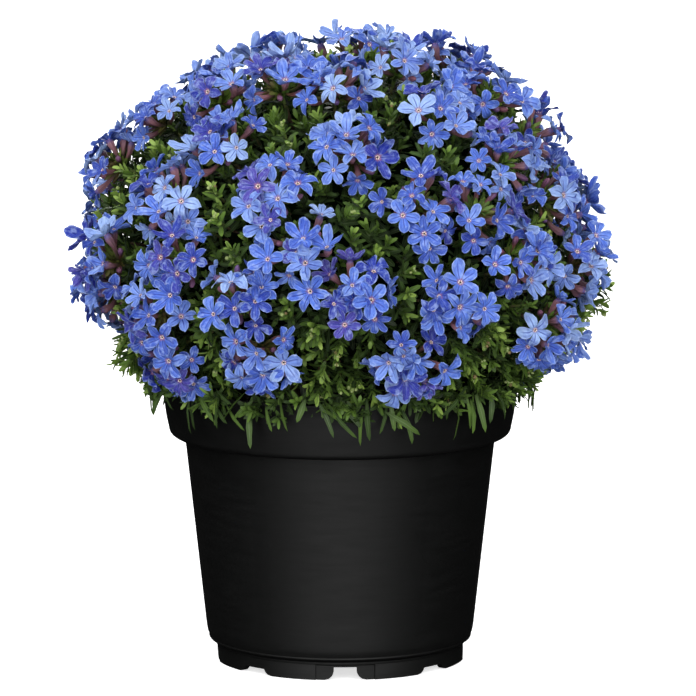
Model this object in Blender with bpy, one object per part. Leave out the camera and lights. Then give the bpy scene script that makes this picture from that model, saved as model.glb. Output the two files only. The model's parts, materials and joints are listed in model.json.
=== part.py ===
"""Potted lithodora: a low evergreen bush covered in small blue flowers, in a 13 cm nursery pot.

The origin is on the pot's axis, on the surface that the pot stands on. +Z is up and -Y is the front.
Every leafy stem grows from its own hole in the soil. Its woody foot, the dense inner twigs and the
leaves that stand out of them are one solid, and each cluster of flowers is one solid on a stalk.
"""

import math
import random
from typing import NamedTuple

import bmesh
import bpy
from mathutils import Matrix, Vector
from mathutils.bvhtree import BVHTree

MM = 0.001
SEED = 20
GOLDEN_ANGLE = math.pi * (3 - math.sqrt(5))

# Gap between pieces that touch
SEAT_GAP = 0.3 * MM

# Pot: radii and heights of the turned wall
POT_STEPS = 30
RIM_RADIUS = 65.0 * MM
RIM_HEIGHT = 103.5 * MM
WALL = 1.4 * MM
COLLAR_BOTTOM_RADIUS = 61.7 * MM
COLLAR_BOTTOM = 84.0 * MM
COLLAR_ROUNDING = 3.6 * MM
BODY_TOP_RADIUS = 55.8 * MM
BODY_BOTTOM_RADIUS = 47.9 * MM
BODY_BOTTOM = 9.8 * MM
FOOT_RADIUS = 45.7 * MM
FOOT_STEP = 7.6 * MM
FOOT_WIDTH = 2.0 * MM
LEDGE_WIDTH = 1.1 * MM
LEDGE_RISE = 0.3 * MM
RIM_BEVEL = 0.4 * MM
FLOOR_BOTTOM = 5.8 * MM

# Openings round the foot and the drain holes above them
NOTCHES = 8
FIRST_NOTCH = math.radians(-87.5)
NOTCH_TOP = 8.6 * MM
NOTCH_BOTTOM = 15.4 * MM
NOTCH_HEIGHT = 4.7 * MM
PANEL_WIDTH = 21.5 * MM
PANEL_HEIGHT = 5.3 * MM
PANEL_DEPTH = 0.6 * MM
DRAIN_RADIUS = 3.6 * MM
DRAIN_CIRCLE = 37.0 * MM

# Soil
SOIL_TOP = 91.5 * MM
SOIL_MOUND = 1.5 * MM
SOIL_MOUND_SHARE = 0.6
SOIL_CLEARANCE = 0.4 * MM

# Dome that the flowers lie on: an upper and a flatter lower half
DOME_CENTRE = Vector((1.2, 0.0, 142.6)) * MM
DOME_X = 101.5 * MM
DOME_Y = 99.0 * MM
DOME_UP = 87.5 * MM
DOME_DOWN = 58.0 * MM

# Leafy stems: each has a wedge of dense twigs inside the dome
STEMS = 7
STEM_SIDES = 6
STEM_CIRCLE = 17.0 * MM
STEM_TOP_CIRCLE = 24.0 * MM
STEM_RADIUS = 3.0 * MM
STEM_DEPTH = 28.0 * MM
CORE_SHARE = 0.74
CORE_UNEVENNESS = 0.03
CORE_BOTTOM = 98.0 * MM
CORE_DOWN = 54.0 * MM
CORE_TOP_ANGLE = math.radians(86)
CORE_ROWS = 19
CORE_GAP = 1.0 * MM

# Share of a leaf's or a tube's length that may meet its neighbour at the root
ROOTED_SHARE = 0.35

# Leaves: one over each cell of a core's face, and a fringe that hangs over the pot's rim
LEAF_CELL = 9.3 * MM
LEAF_LENGTHS = (25.0 * MM, 20.0 * MM, 15.0 * MM, 10.0 * MM, 6.0 * MM)
LEAF_SWAY = 0.26
LEAF_ROOTED = 0.08
NEIGHBOUR_SHARE = 0.005
LEAF_LOWEST = 106.0 * MM
RIM_LEAVES = 46
RIM_LEAF_LENGTH = 29.0 * MM
RIM_LEAF_WIDTH = 3.4 * MM
RIM_LEAF_THICKNESS = 1.5 * MM
RIM_LEAF_CIRCLE = 52.0 * MM
RIM_LEAF_ROOT = 113.5 * MM
RIM_LEAF_DROPS = (1.25, 0.95, 0.7, 0.45)
RIM_LEAF_FACES = ((0, 1, 3), (1, 2, 3), (2, 0, 3), (2, 1, 0))

# Flowers
FLOWER_PITCH = 6.9 * MM
FLOWER_RADIUS = 8.0 * MM
FLOWER_VARIATION = 0.12
FLOWER_SWAY = 0.28
FLOWER_LIFT = 0.22
SMALLER_SHARE = 0.85
LOBES = 5
NOTCH_SHARE = 0.6
NOTCH_DROP = 0.5 * MM
HEART_DEPTH = 1.4 * MM
NECK_DEPTH = 3.5 * MM
NECK_RADIUS = 1.25 * MM
HUB_RADIUS = 3.2 * MM
HUB_DEPTH = 12.4 * MM
HUB_FOOT_RADIUS = 1.7 * MM
HUB_FOOT_DEPTH = 1.8 * MM
ROOT_ANGLE = math.radians(12)
ROOTS_APART = 2.1 * ROOT_ANGLE
STALK_RADIUS = 1.5 * MM
CLEARANCE = 0.35 * MM
TEST_TUBE_SHARES = (1.6, 1.2)
TEST_REACH = 2.6
HEIGHT_TRIES = (0.0, 1.8, -1.8, 3.2, -3.2, 4.6)
BACK_CLUSTERS = 21
BACK_COUNT = 8
BACK_PITCH = 8.2 * MM
BACK_TRIES = 500
BACK_LOWEST = math.radians(-24)

# Flower clusters seen from the front, nine degrees above the level: how far right of the pot's
# axis and how high in the picture plane each lies, in millimetres, and its number of flowers.
FRONT_VIEW_ANGLE = math.radians(9)
FRONT_CLUSTERS = (
    (-86, 184, 6), (-69, 201, 6), (-48, 209, 7), (-45, 188, 6), (-24, 213, 7), (-3, 212, 6),
    (21, 219, 7), (5, 186, 7), (38, 200, 6), (56, 208, 7), (74, 198, 6), (62, 183, 7),
    (85, 171, 7), (29, 166, 7), (-26, 170, 7), (-66, 168, 7), (-91, 144, 7), (-62, 144, 7),
    (-70, 121, 7), (-17, 150, 7), (-40, 129, 5), (3, 131, 8), (53, 163, 6),
    (66, 146, 7), (47, 128, 7), (96, 143, 7), (80, 115, 7), (27, 101, 7),
    (-30, 105, 7), (-66, 103, 6),
)

COLOURS = {
    "pot_black": ((0.012, 0.012, 0.013), 0.42),
    "soil_dark": ((0.035, 0.022, 0.014), 0.95),
    "leaf_green": ((0.095, 0.2, 0.03), 0.6),
    "flower_blue": ((0.11, 0.22, 0.78), 0.55),
}


class Cluster(NamedTuple):
    """One cluster of flowers: a point on the dome, how many stand round it, and how wide they spread."""

    site: Vector
    count: int
    pitch: float


class Flower(NamedTuple):
    """One flower: the middle of its face, where it looks, its turn, its size and its hub."""

    centre: Vector
    axis: Vector
    roll: float
    radius: float
    hub: Vector


class Stalk(NamedTuple):
    """One cluster's stalk: its stem, the core's cell that it grows from, and its three-cornered end."""

    stem: int
    number: int
    cell: tuple
    end: list


def clear_scene():
    for obj in list(bpy.data.objects):
        bpy.data.objects.remove(obj)


def material(name):
    colour, roughness = COLOURS[name]
    made = bpy.data.materials.get(name)
    if made is None:
        made = bpy.data.materials.new(name)
        made.use_nodes = True
        shader = made.node_tree.nodes["Principled BSDF"]
        shader.inputs["Base Color"].default_value = (*colour, 1.0)
        shader.inputs["Roughness"].default_value = roughness
        shader.inputs["Metallic"].default_value = 0.0
    return made


def add_object(name, bm, material_name=None):
    """Makes an object of a finished bmesh and links it to the scene."""
    mesh = bpy.data.meshes.new(name)
    bm.to_mesh(mesh)
    bm.free()
    obj = bpy.data.objects.new(name, mesh)
    bpy.context.scene.collection.objects.link(obj)
    if material_name:
        mesh.materials.append(material(material_name))
    return obj


def shade_round(obj, degrees):
    obj.data.shade_smooth()
    obj.data.set_sharp_from_angle(angle=math.radians(degrees))


def apply_modifiers(obj):
    """Replaces the mesh by the one that the modifiers give."""
    graph = bpy.context.evaluated_depsgraph_get()
    made = bpy.data.meshes.new_from_object(obj.evaluated_get(graph))
    obj.modifiers.clear()
    obj.data = made


def turned(profile, steps):
    """Closed solid turned from (radius, height) points that start and end on the axis."""
    bm = bmesh.new()
    points = [bm.verts.new((radius, 0.0, height)) for radius, height in profile]
    edges = [bm.edges.new(pair) for pair in zip(points, points[1:])]
    bmesh.ops.spin(bm, geom=points + edges, cent=(0, 0, 0), axis=(0, 0, 1), angle=math.tau, steps=steps)
    bmesh.ops.remove_doubles(bm, verts=bm.verts, dist=1e-6)
    bmesh.ops.recalc_face_normals(bm, faces=bm.faces)
    return bm


def prism(bm, lower, upper):
    """Closed solid between two rings of as many points, both counted the same way round."""
    low = [bm.verts.new(point) for point in lower]
    high = [bm.verts.new(point) for point in upper]
    for i in range(len(low)):
        j = (i + 1) % len(low)
        bm.faces.new((low[i], low[j], high[j], high[i]))
    bm.faces.new(low[::-1])
    bm.faces.new(high)


def ring(centre, radius, sides, axis=Vector((0, 0, 1)), turn=0.0):
    """Points of a regular polygon round an axis, counted anticlockwise seen from its tip."""
    side = axis.orthogonal().normalized()
    other = axis.normalized().cross(side)
    angles = [turn + math.tau * i / sides for i in range(sides)]
    return [centre + radius * (math.cos(a) * side + math.sin(a) * other) for a in angles]


def pot_outside():
    """Outer profile of the pot's wall, from the foot up to the rim."""
    corner = COLLAR_ROUNDING
    rounding = [
        (COLLAR_BOTTOM_RADIUS - corner * (1 - math.cos(a)), COLLAR_BOTTOM + corner * (1 + math.sin(a)))
        for a in (math.radians(-90), math.radians(-40), 0.0)
    ]
    return [
        (FOOT_RADIUS, 0.0),
        (FOOT_RADIUS, FOOT_STEP),
        (FOOT_RADIUS + LEDGE_WIDTH, FOOT_STEP + LEDGE_RISE),
        (BODY_BOTTOM_RADIUS, BODY_BOTTOM),
        (BODY_TOP_RADIUS, COLLAR_BOTTOM),
        *rounding,
        (RIM_RADIUS, RIM_HEIGHT - RIM_BEVEL),
        (RIM_RADIUS - RIM_BEVEL, RIM_HEIGHT),
    ]


def pot_inside():
    """Inner profile of the pot's wall, from the rim down to the floor's middle."""
    ledge = COLLAR_BOTTOM + WALL
    return [
        (RIM_RADIUS - WALL, RIM_HEIGHT),
        (COLLAR_BOTTOM_RADIUS - WALL, COLLAR_BOTTOM + COLLAR_ROUNDING),
        (COLLAR_BOTTOM_RADIUS - 2 * WALL, ledge),
        (BODY_TOP_RADIUS - WALL, ledge),
        (BODY_BOTTOM_RADIUS - WALL, BODY_BOTTOM),
        (FOOT_RADIUS - WALL, FLOOR_BOTTOM + WALL),
        (0.0, FLOOR_BOTTOM + WALL),
    ]


def foot_cutter(name, half_low, half_high, height, near, far):
    """Cutters round the foot, one at each notch: a tapered block from radius near to radius far."""
    bm = bmesh.new()
    for k in range(NOTCHES):
        turn = Matrix.Rotation(FIRST_NOTCH + math.tau * k / NOTCHES, 4, "Z")
        low = [(near, -half_low, -MM), (far, -half_low, -MM), (far, half_low, -MM), (near, half_low, -MM)]
        high = [(near, -half_high, height), (far, -half_high, height)]
        high += [(far, half_high, height), (near, half_high, height)]
        prism(bm, [turn @ Vector(p) for p in low], [turn @ Vector(p) for p in high])
    return add_cutter(name, bm)


def add_cutter(name, bm):
    cutter = add_object(name, bm)
    cutter.hide_render = True
    cutter.display_type = "WIRE"
    return cutter


def cut(obj, cutter):
    modifier = obj.modifiers.new(cutter.name, "BOOLEAN")
    modifier.operation = "DIFFERENCE"
    modifier.object = cutter


def make_pot():
    """The pot: turned wall with a collar, a notched foot ring and drain holes in the floor."""
    inner_foot = FOOT_RADIUS - FOOT_WIDTH
    profile = [(0.0, FLOOR_BOTTOM), (inner_foot, FLOOR_BOTTOM), (inner_foot, 0.0)]
    pot = add_object("pot", turned(profile + pot_outside() + pot_inside(), POT_STEPS), "pot_black")
    drains = bmesh.new()
    for k in range(NOTCHES):
        angle = FIRST_NOTCH + math.tau * k / NOTCHES
        middle = Vector((math.cos(angle), math.sin(angle), 0)) * DRAIN_CIRCLE
        low = ring(middle + Vector((0, 0, FLOOR_BOTTOM - MM)), DRAIN_RADIUS, 6)
        high = ring(middle + Vector((0, 0, FLOOR_BOTTOM + WALL + MM)), DRAIN_RADIUS, 6)
        prism(drains, low, high)
    panel = foot_cutter(
        "panel_cutter", PANEL_WIDTH / 2, PANEL_WIDTH / 2, PANEL_HEIGHT, FOOT_RADIUS - PANEL_DEPTH, RIM_RADIUS
    )
    notch = foot_cutter(
        "notch_cutter", NOTCH_BOTTOM / 2, NOTCH_TOP / 2, NOTCH_HEIGHT, FOOT_RADIUS - 4 * FOOT_WIDTH, RIM_RADIUS
    )
    cut(pot, add_cutter("drain_cutter", drains))
    cut(pot, panel)
    cut(pot, notch)
    shade_round(pot, 30)
    return pot


def stem_angle(k):
    """Direction of leafy stem k, seen from above."""
    return math.tau * (k + 0.5) / STEMS


def stem_foot(k, circle, height):
    angle = stem_angle(k)
    return Vector((circle * math.cos(angle), circle * math.sin(angle), height))


def make_soil():
    """The potting soil: it fills the pot up to just under the collar's top, with a hole for each stem."""
    inside = [(radius - SOIL_CLEARANCE, height) for radius, height in pot_inside()]
    rim, corner, ledge_out, ledge_in, step, floor, _ = inside
    share = (SOIL_TOP - corner[1]) / (rim[1] - corner[1])
    top = (corner[0] + share * (rim[0] - corner[0]), SOIL_TOP)
    lift = SOIL_CLEARANCE
    profile = [
        (0.0, floor[1] + lift),
        (floor[0], floor[1] + lift),
        step,
        (ledge_in[0], ledge_in[1] + lift),
        (ledge_out[0] - lift, ledge_out[1] + lift),
        top,
        (SOIL_MOUND_SHARE * top[0], SOIL_TOP + SOIL_MOUND),
        (0.0, SOIL_TOP + SOIL_MOUND),
    ]
    soil = add_object("soil", turned(profile, POT_STEPS), "soil_dark")
    holes = bmesh.new()
    for k in range(STEMS):
        bottom = stem_foot(k, STEM_CIRCLE, SOIL_TOP - STEM_DEPTH)
        top = stem_foot(k, STEM_CIRCLE, SOIL_TOP + 3 * SOIL_MOUND)
        radius = STEM_RADIUS + SEAT_GAP / math.cos(math.pi / STEM_SIDES)
        turn = stem_angle(k)
        prism(holes, ring(bottom, radius, STEM_SIDES, turn=turn), ring(top, radius, STEM_SIDES, turn=turn))
    cut(soil, add_cutter("stem_holes", holes))
    shade_round(soil, 30)
    return soil


def dome_axes(rising):
    return Vector((DOME_X, DOME_Y, DOME_UP if rising else DOME_DOWN))


def dome_point(direction):
    """Point where a ray from the dome's centre meets the dome."""
    axes = dome_axes(direction.z >= 0)
    reach = math.sqrt(sum((d / a) ** 2 for d, a in zip(direction, axes)))
    return DOME_CENTRE + direction / reach


def dome_normal(point):
    offset = point - DOME_CENTRE
    axes = dome_axes(offset.z >= 0)
    return Vector([o / a**2 for o, a in zip(offset, axes)]).normalized()


def level_direction(azimuth, rise):
    """Unit vector at this azimuth, risen by this angle above the level."""
    return Vector((
        math.cos(azimuth) * math.cos(rise),
        math.sin(azimuth) * math.cos(rise),
        math.sin(rise),
    ))


def spiral_direction(k, total, lowest):
    """Direction k of a golden spiral that spreads evenly from straight up down to the lowest angle."""
    height = 1 - (k + 0.5) / total * (1 - math.sin(lowest))
    return level_direction(GOLDEN_ANGLE * k, math.asin(height))


def front_site(right, high):
    """Point of the dome's front that is seen this far right and this high in the picture plane."""
    right, high = right * MM, high * MM
    sine, cosine = math.sin(FRONT_VIEW_ANGLE), math.cos(FRONT_VIEW_ANGLE)
    depth = 0.0
    for _ in range(40):
        height = (high + depth * sine) / cosine - DOME_CENTRE.z
        axes = dome_axes(height >= 0)
        rest = 1 - ((right - DOME_CENTRE.x) / axes.x) ** 2 - (height / axes.z) ** 2
        depth += 0.5 * (axes.y * math.sqrt(max(rest, 0.0)) - depth)
    return dome_point(Vector((right - DOME_CENTRE.x, -depth, height)))


def cluster_sites():
    """The clusters seen from the front, then more behind, each where it is furthest from the others."""
    found = [
        Cluster(front_site(right, high), count, FLOWER_PITCH)
        for right, high, count in FRONT_CLUSTERS
    ]
    total = len(found) + BACK_CLUSTERS
    free = [dome_point(spiral_direction(k, BACK_TRIES, BACK_LOWEST)) for k in range(BACK_TRIES)]
    free = [site for site in free if site.y > 0]
    while len(found) < total:
        site = max(free, key=lambda point: min((point - other.site).length for other in found))
        found.append(Cluster(site, BACK_COUNT, BACK_PITCH))
    return found


def hub_of(cluster):
    return cluster.site - HUB_DEPTH * dome_normal(cluster.site)


def flower_axis(site, rng):
    """Where a flower looks: outwards from the dome, a little lifted to the light, and not quite even."""
    sway = Vector([rng.uniform(-FLOWER_SWAY, FLOWER_SWAY) for _ in range(3)])
    return (dome_normal(site) + Vector((0, 0, FLOWER_LIFT)) + sway).normalized()


def flower_points(flower, grow=0.0):
    """The neck, the lobed rim and the heart of a flower."""
    frame = ring(Vector(), 1.0, 4, flower.axis, flower.roll)
    across, along = frame[0], frame[1]
    neck_middle = flower.centre - NECK_DEPTH * flower.axis
    rim = []
    for j in range(2 * LOBES):
        angle = math.pi * j / LOBES
        notch = j % 2
        reach = (flower.radius * NOTCH_SHARE if notch else flower.radius) + grow
        spoke = math.cos(angle) * across + math.sin(angle) * along
        rim.append(flower.centre + reach * spoke - notch * NOTCH_DROP * flower.axis)
    heart = flower.centre - HEART_DEPTH * flower.axis
    return neck_middle, rim, heart


def outward_of(flower):
    """Direction of a flower's tube, from its hub to its neck."""
    return (flower.centre - NECK_DEPTH * flower.axis - flower.hub).normalized()


def tube_ends(flower):
    """The three corners of a tube on its hub and the three at the flower's neck, without a twist between."""
    outward = outward_of(flower)
    neck = ring(flower.centre - NECK_DEPTH * flower.axis, NECK_RADIUS, 3, flower.axis, flower.roll)
    spokes = ring(Vector(), HUB_RADIUS * math.tan(ROOT_ANGLE), 3, flower.axis, flower.roll)
    turn = flower.axis.rotation_difference(outward)
    return [flower.hub + HUB_RADIUS * outward + turn @ spoke for spoke in spokes], neck


def raise_flower(bm, root, flower):
    """Grows a flower out of a hub's face: a three-sided tube, a flared underside and a sunken face."""
    _, neck_points = tube_ends(flower)
    _, rim_points, heart_point = flower_points(flower)
    neck = [bm.verts.new(p) for p in neck_points]
    rim = [bm.verts.new(p) for p in rim_points]
    heart = bm.verts.new(heart_point)
    for k in range(3):
        after = (k + 1) % 3
        bm.faces.new((root[k], root[after], neck[after]))
        bm.faces.new((root[k], neck[after], neck[k]))
    owners = [neck_under(j) for j in range(len(rim))]
    for j, owner in enumerate(owners):
        after = (j + 1) % len(rim)
        bm.faces.new((neck[owner], rim[after], rim[j]))
        bm.faces.new((heart, rim[j], rim[after]))
        if owners[after] != owner:
            bm.faces.new((neck[owner], neck[owners[after]], rim[after]))


def neck_under(j):
    """Which of the neck's three corners lies under the middle of the rim's edge j."""
    return round(3 * (j + 0.5) / (2 * LOBES)) % 3


def flower_tree(flower, grow=0.0, start=0.0):
    """A flower for testing room: its face, its back, and its tube from this share of its length on."""
    neck_middle, rim, heart = flower_points(flower, grow)
    low = flower.hub.lerp(neck_middle, start)
    spine = (neck_middle - flower.hub).normalized()
    low_share, high_share = TEST_TUBE_SHARES
    tube_low = ring(low, low_share * NECK_RADIUS + grow, 6, spine)
    tube_high = ring(neck_middle, high_share * NECK_RADIUS + grow, 6, spine)
    back = neck_middle - (NECK_RADIUS + grow) * flower.axis
    points = [*rim, heart + grow * flower.axis, back, *tube_low, *tube_high]
    size = len(rim)
    faces = [(size, j, (j + 1) % size) for j in range(size)]
    faces += [(size + 1, (j + 1) % size, j) for j in range(size)]
    sides = len(tube_low)
    for k in range(sides):
        a, b = size + 2 + k, size + 2 + (k + 1) % sides
        faces += [(a, b, b + sides), (a, b + sides, a + sides)]
    return BVHTree.FromPolygons(points, faces)


def has_room(flower, placed, pot_tree):
    """Whether a flower clears the pot and the flowers there. On one hub, tubes only keep an angle apart."""
    reach = TEST_REACH * FLOWER_RADIUS + HUB_DEPTH
    whole = flower_tree(flower, CLEARANCE)
    outer = flower_tree(flower, CLEARANCE, ROOTED_SHARE)
    if whole.overlap(pot_tree):
        return False
    for other, other_whole, other_outer in placed:
        if (other.centre - flower.centre).length > reach:
            continue
        if other.hub != flower.hub:
            if whole.overlap(other_whole):
                return False
        elif outer.overlap(other_outer) or outward_of(flower).angle(outward_of(other)) < ROOTS_APART:
            return False
    return True


def place_cluster(cluster, rng, placed, pot_tree):
    """Spreads a cluster's flowers in a small golden spiral, each at a height where it has room.

    A flower that fits at none of the heights is tried again a little smaller, and then left out.
    """
    normal = dome_normal(cluster.site)
    side = normal.orthogonal().normalized()
    start = rng.uniform(0, math.tau)
    flowers = []
    for i in range(cluster.count):
        angle = start + GOLDEN_ANGLE * i
        spoke = Matrix.Rotation(angle, 3, normal) @ side
        near = cluster.site + cluster.pitch * math.sqrt(i + 0.5) * spoke
        site = dome_point(near - DOME_CENTRE)
        axis = flower_axis(site, rng)
        radius = FLOWER_RADIUS * rng.uniform(1 - FLOWER_VARIATION, 1 + FLOWER_VARIATION)
        roll = rng.uniform(0, math.tau)
        for n, height in enumerate(HEIGHT_TRIES * 2):
            centre = site + height * MM * dome_normal(site)
            shrink = 1.0 if n < len(HEIGHT_TRIES) else SMALLER_SHARE
            flower = Flower(centre, axis, roll + n * math.pi / LOBES, radius * shrink, hub_of(cluster))
            if has_room(flower, placed, pot_tree):
                placed.append((flower, flower_tree(flower), flower_tree(flower, start=ROOTED_SHARE)))
                flowers.append(flower)
                break
    return flowers


def hub_foot(cluster):
    """The three corners of a hub's flat foot."""
    axis = dome_normal(cluster.site)
    return ring(hub_of(cluster) - HUB_FOOT_DEPTH * axis, HUB_FOOT_RADIUS, 3, axis)


def make_cluster(name, cluster, flowers):
    """One solid for a cluster: the hull of its hub's corners, with a flower grown out of each root face."""
    bm = bmesh.new()
    foot = [bm.verts.new(point) for point in hub_foot(cluster)]
    roots = [[bm.verts.new(point) for point in tube_ends(flower)[0]] for flower in flowers]
    bmesh.ops.convex_hull(bm, input=[*foot, *[corner for root in roots for corner in root]])
    for root, flower in zip(roots, flowers):
        bmesh.ops.delete(bm, geom=[bm.faces.get(root)], context="FACES_ONLY")
        raise_flower(bm, root, flower)
    return add_object(name, bm, "flower_blue")


def core_point(k, side, angle):
    """Point of stem k's core at one side of its wedge, at this angle up the dome."""
    half = math.pi / STEMS
    middle = stem_angle(k)
    azimuth = middle + side * half
    swell = 1 + CORE_UNEVENNESS * math.sin(9 * angle + 5 * azimuth)
    across = CORE_SHARE * swell * math.cos(angle)
    up = CORE_SHARE * DOME_UP if angle >= 0 else CORE_DOWN
    return core_axis(k) + Vector((
        DOME_X * across * math.cos(azimuth),
        DOME_Y * across * math.sin(azimuth),
        up * swell * math.sin(angle),
    ))


def core_axis(k):
    """The dome's centre, moved out under stem k so that the wedges stand a gap apart."""
    return DOME_CENTRE + CORE_GAP / 2 / math.sin(math.pi / STEMS) * level_direction(stem_angle(k), 0)


def core_rows(k):
    """Rows of points over stem k's core, from its bottom up. A leaf's width parts the points of a row."""
    low = math.asin((CORE_BOTTOM - DOME_CENTRE.z) / CORE_DOWN)
    rows = []
    for i in range(CORE_ROWS):
        angle = low + (CORE_TOP_ANGLE - low) * i / (CORE_ROWS - 1)
        width = (core_point(k, 1, angle) - core_point(k, -1, angle)).length
        count = max(1, round(width / LEAF_CELL))
        rows.append([core_point(k, 2 * j / count - 1, angle) for j in range(count + 1)])
    return rows


def strip(lower, upper):
    """Triangles between two rows of points, counted anticlockwise seen from outside."""
    i, j = 0, 0
    last_low, last_up = len(lower) - 1, len(upper) - 1
    while i < last_low or j < last_up:
        if j == last_up or (i < last_low and (i + 1) * last_up <= (j + 1) * last_low):
            yield lower[i], lower[i + 1], upper[j]
            i += 1
        else:
            yield lower[i], upper[j + 1], upper[j]
            j += 1


def core_cells(rows):
    return [cell for lower, upper in zip(rows, rows[1:]) for cell in strip(lower, upper)]


def add_core_sides(bm, k, rows):
    """The flat sides, top and bottom of stem k's core, behind the cells of its face."""
    inner = core_axis(k)
    low = bm.verts.new((inner.x, inner.y, rows[0][0].co.z))
    high = bm.verts.new((inner.x, inner.y, rows[-1][0].co.z))
    bm.faces.new([low, *rows[0][::-1]])
    bm.faces.new([high, *rows[-1]])
    bm.faces.new([high, low, *[row[0] for row in rows]])
    bm.faces.new([low, high, *[row[-1] for row in rows[::-1]]])


def add_plain_core(bm, k):
    rows = [[bm.verts.new(point) for point in row] for row in core_rows(k)]
    for cell in core_cells(rows):
        bm.faces.new(cell)
    add_core_sides(bm, k, rows)


def add_woody_stem(bm, k):
    """The woody foot of stem k: upright in its hole in the soil, then leaning out into its core."""
    levels = (
        (STEM_CIRCLE, SOIL_TOP - STEM_DEPTH + SEAT_GAP, STEM_RADIUS),
        (STEM_CIRCLE, SOIL_TOP + 2 * SOIL_MOUND, STEM_RADIUS),
        (STEM_TOP_CIRCLE, CORE_BOTTOM + 12 * MM, 0.75 * STEM_RADIUS),
    )
    rings = [
        ring(stem_foot(k, circle, height), radius, STEM_SIDES, turn=stem_angle(k))
        for circle, height, radius in levels
    ]
    rows = [[bm.verts.new(point) for point in points] for points in rings]
    for below, above in zip(rows, rows[1:]):
        for i in range(STEM_SIDES):
            j = (i + 1) % STEM_SIDES
            bm.faces.new((below[i], below[j], above[j], above[i]))
    bm.faces.new(rows[0][::-1])
    bm.faces.new(rows[-1])


def stem_under(point):
    """Which leafy stem a point of the dome belongs to."""
    azimuth = math.atan2(point.y - DOME_CENTRE.y, point.x - DOME_CENTRE.x) % math.tau
    return int(azimuth / math.tau * STEMS) % STEMS


def middle_of(cell):
    return (cell[0] + cell[1] + cell[2]) / 3


def stalk_cell(cluster, cells, taken):
    """The cell of a core's face that a cluster's stalk grows from: the free one nearest below it."""
    axis = dome_normal(cluster.site)
    foot = hub_of(cluster)
    free = [n for n in range(len(cells)) if n not in taken]
    return min(free, key=lambda n: (middle_of(cells[n]) - foot).cross(axis).length)


def stalk_end(cluster, cell):
    """The three corners of a stalk's end, just under its cluster's hub, each over a corner of its cell."""
    axis = dome_normal(cluster.site)
    end = []
    for corner in cell:
        spoke = corner - middle_of(cell)
        spoke -= spoke.dot(axis) * axis
        end.append(hub_of(cluster) - (HUB_FOOT_DEPTH + SEAT_GAP) * axis + STALK_RADIUS * spoke.normalized())
    return end


def stalk_tree(cell, top, start=0.0):
    """A stalk for testing room, from this share of its length on."""
    low = [a.lerp(b, start) for a, b in zip(cell, top)]
    faces = [(k, (k + 1) % 3, 3 + (k + 1) % 3, 3 + k) for k in range(3)]
    return BVHTree.FromPolygons([*low, *top], faces)


def blade_points(root, tip, width, thickness):
    """The four corners of a hanging leaf: its flat underside's two, its keel's one and its tip."""
    along = (tip - root).normalized()
    flat = along.cross(Vector((0, 0, 1))).normalized()
    keel = flat.cross(along)
    low = root - keel * thickness / 3
    return [low + flat * width / 2, root + keel * thickness * 2 / 3, low - flat * width / 2, tip]


def blade_tree(root, tip, grow=0.0, start=0.0):
    """A hanging leaf from this share of its length on, with this much room round it."""
    width = RIM_LEAF_WIDTH * (1 - start) + 2 * grow
    thickness = RIM_LEAF_THICKNESS * (1 - start) + 2 * grow
    end = tip + (tip - root).normalized() * grow
    return BVHTree.FromPolygons(blade_points(root.lerp(tip, start), end, width, thickness), RIM_LEAF_FACES)


def rim_leaves(solids, stalks, rng):
    """Leaves that hang from the lowest twigs out over the pot's rim, as their stem, root and tip."""
    found = []
    trees = []
    cores = [tree_built(add_plain_core, k) for k in range(STEMS)]
    for n in range(RIM_LEAVES):
        azimuth = math.tau * (n + rng.uniform(0.2, 0.8)) / RIM_LEAVES
        outward = level_direction(azimuth, 0)
        root = DOME_CENTRE + RIM_LEAF_CIRCLE * outward
        root.z = RIM_LEAF_ROOT + rng.uniform(0, 3) * MM
        k = stem_under(root)
        others = [solids, *stalks, *trees, *[core for j, core in enumerate(cores) if j != k]]
        for drop in RIM_LEAF_DROPS:
            heading = (outward - Vector((0, 0, drop + rng.uniform(-0.1, 0.1)))).normalized()
            tip = root + heading * RIM_LEAF_LENGTH * rng.uniform(0.85, 1.05)
            tree = blade_tree(root, tip, CLEARANCE)
            if not any(tree.overlap(other) for other in others):
                found.append((k, root, tip))
                trees.append(blade_tree(root, tip))
                break
    return found


def spike_tree(cell, top, share):
    """A leaf or stalk of a stem, drawn in by this share at its root, where it meets its neighbours."""
    middle = middle_of(cell)
    apex = middle_of(top)
    low = [corner.lerp(middle, share).lerp(apex, share) for corner in cell]
    high = [corner.lerp(apex, share) for corner in top]
    faces = [(k, (k + 1) % 3, 3 + (k + 1) % 3) for k in range(3)]
    faces += [(k, 3 + (k + 1) % 3, 3 + k) for k in range(3)]
    return BVHTree.FromPolygons([*low, *high], faces)


def leaf_tip(cell, trees, neighbours, rng):
    """Tip of the longest leaf that has room above a cell, or None where even the shortest has none."""
    middle = middle_of(cell)
    if middle.z < LEAF_LOWEST:
        return None
    normal = (cell[1] - cell[0]).cross(cell[2] - cell[0]).normalized()
    heading = (normal + dome_normal(middle)).normalized()
    sway = LEAF_SWAY * (rng.uniform(-1, 1) * (cell[1] - middle) + rng.uniform(-1, 1) * (cell[2] - middle))
    for length in LEAF_LENGTHS:
        tip = middle + sway + heading * length * rng.uniform(0.88, 1.12)
        base = [corner.lerp(tip, LEAF_ROOTED) for corner in cell]
        base = [corner + CLEARANCE * (corner - middle).normalized() for corner in base]
        tree = BVHTree.FromPolygons([*base, tip + CLEARANCE * heading], ((0, 1, 3), (1, 2, 3), (2, 0, 3)))
        spike = spike_tree(cell, [tip, tip, tip], NEIGHBOUR_SHARE)
        if not any(tree.overlap(other) for other in trees) and not any(
            spike.overlap(other) for other in neighbours
        ):
            neighbours.append(spike)
            return tip
    return None


def tree_built(build, *arguments):
    """What a builder adds to a bmesh, as a tree for testing room."""
    bm = bmesh.new()
    build(bm, *arguments)
    bmesh.ops.triangulate(bm, faces=bm.faces)
    tree = BVHTree.FromBMesh(bm)
    bm.free()
    return tree


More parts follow.
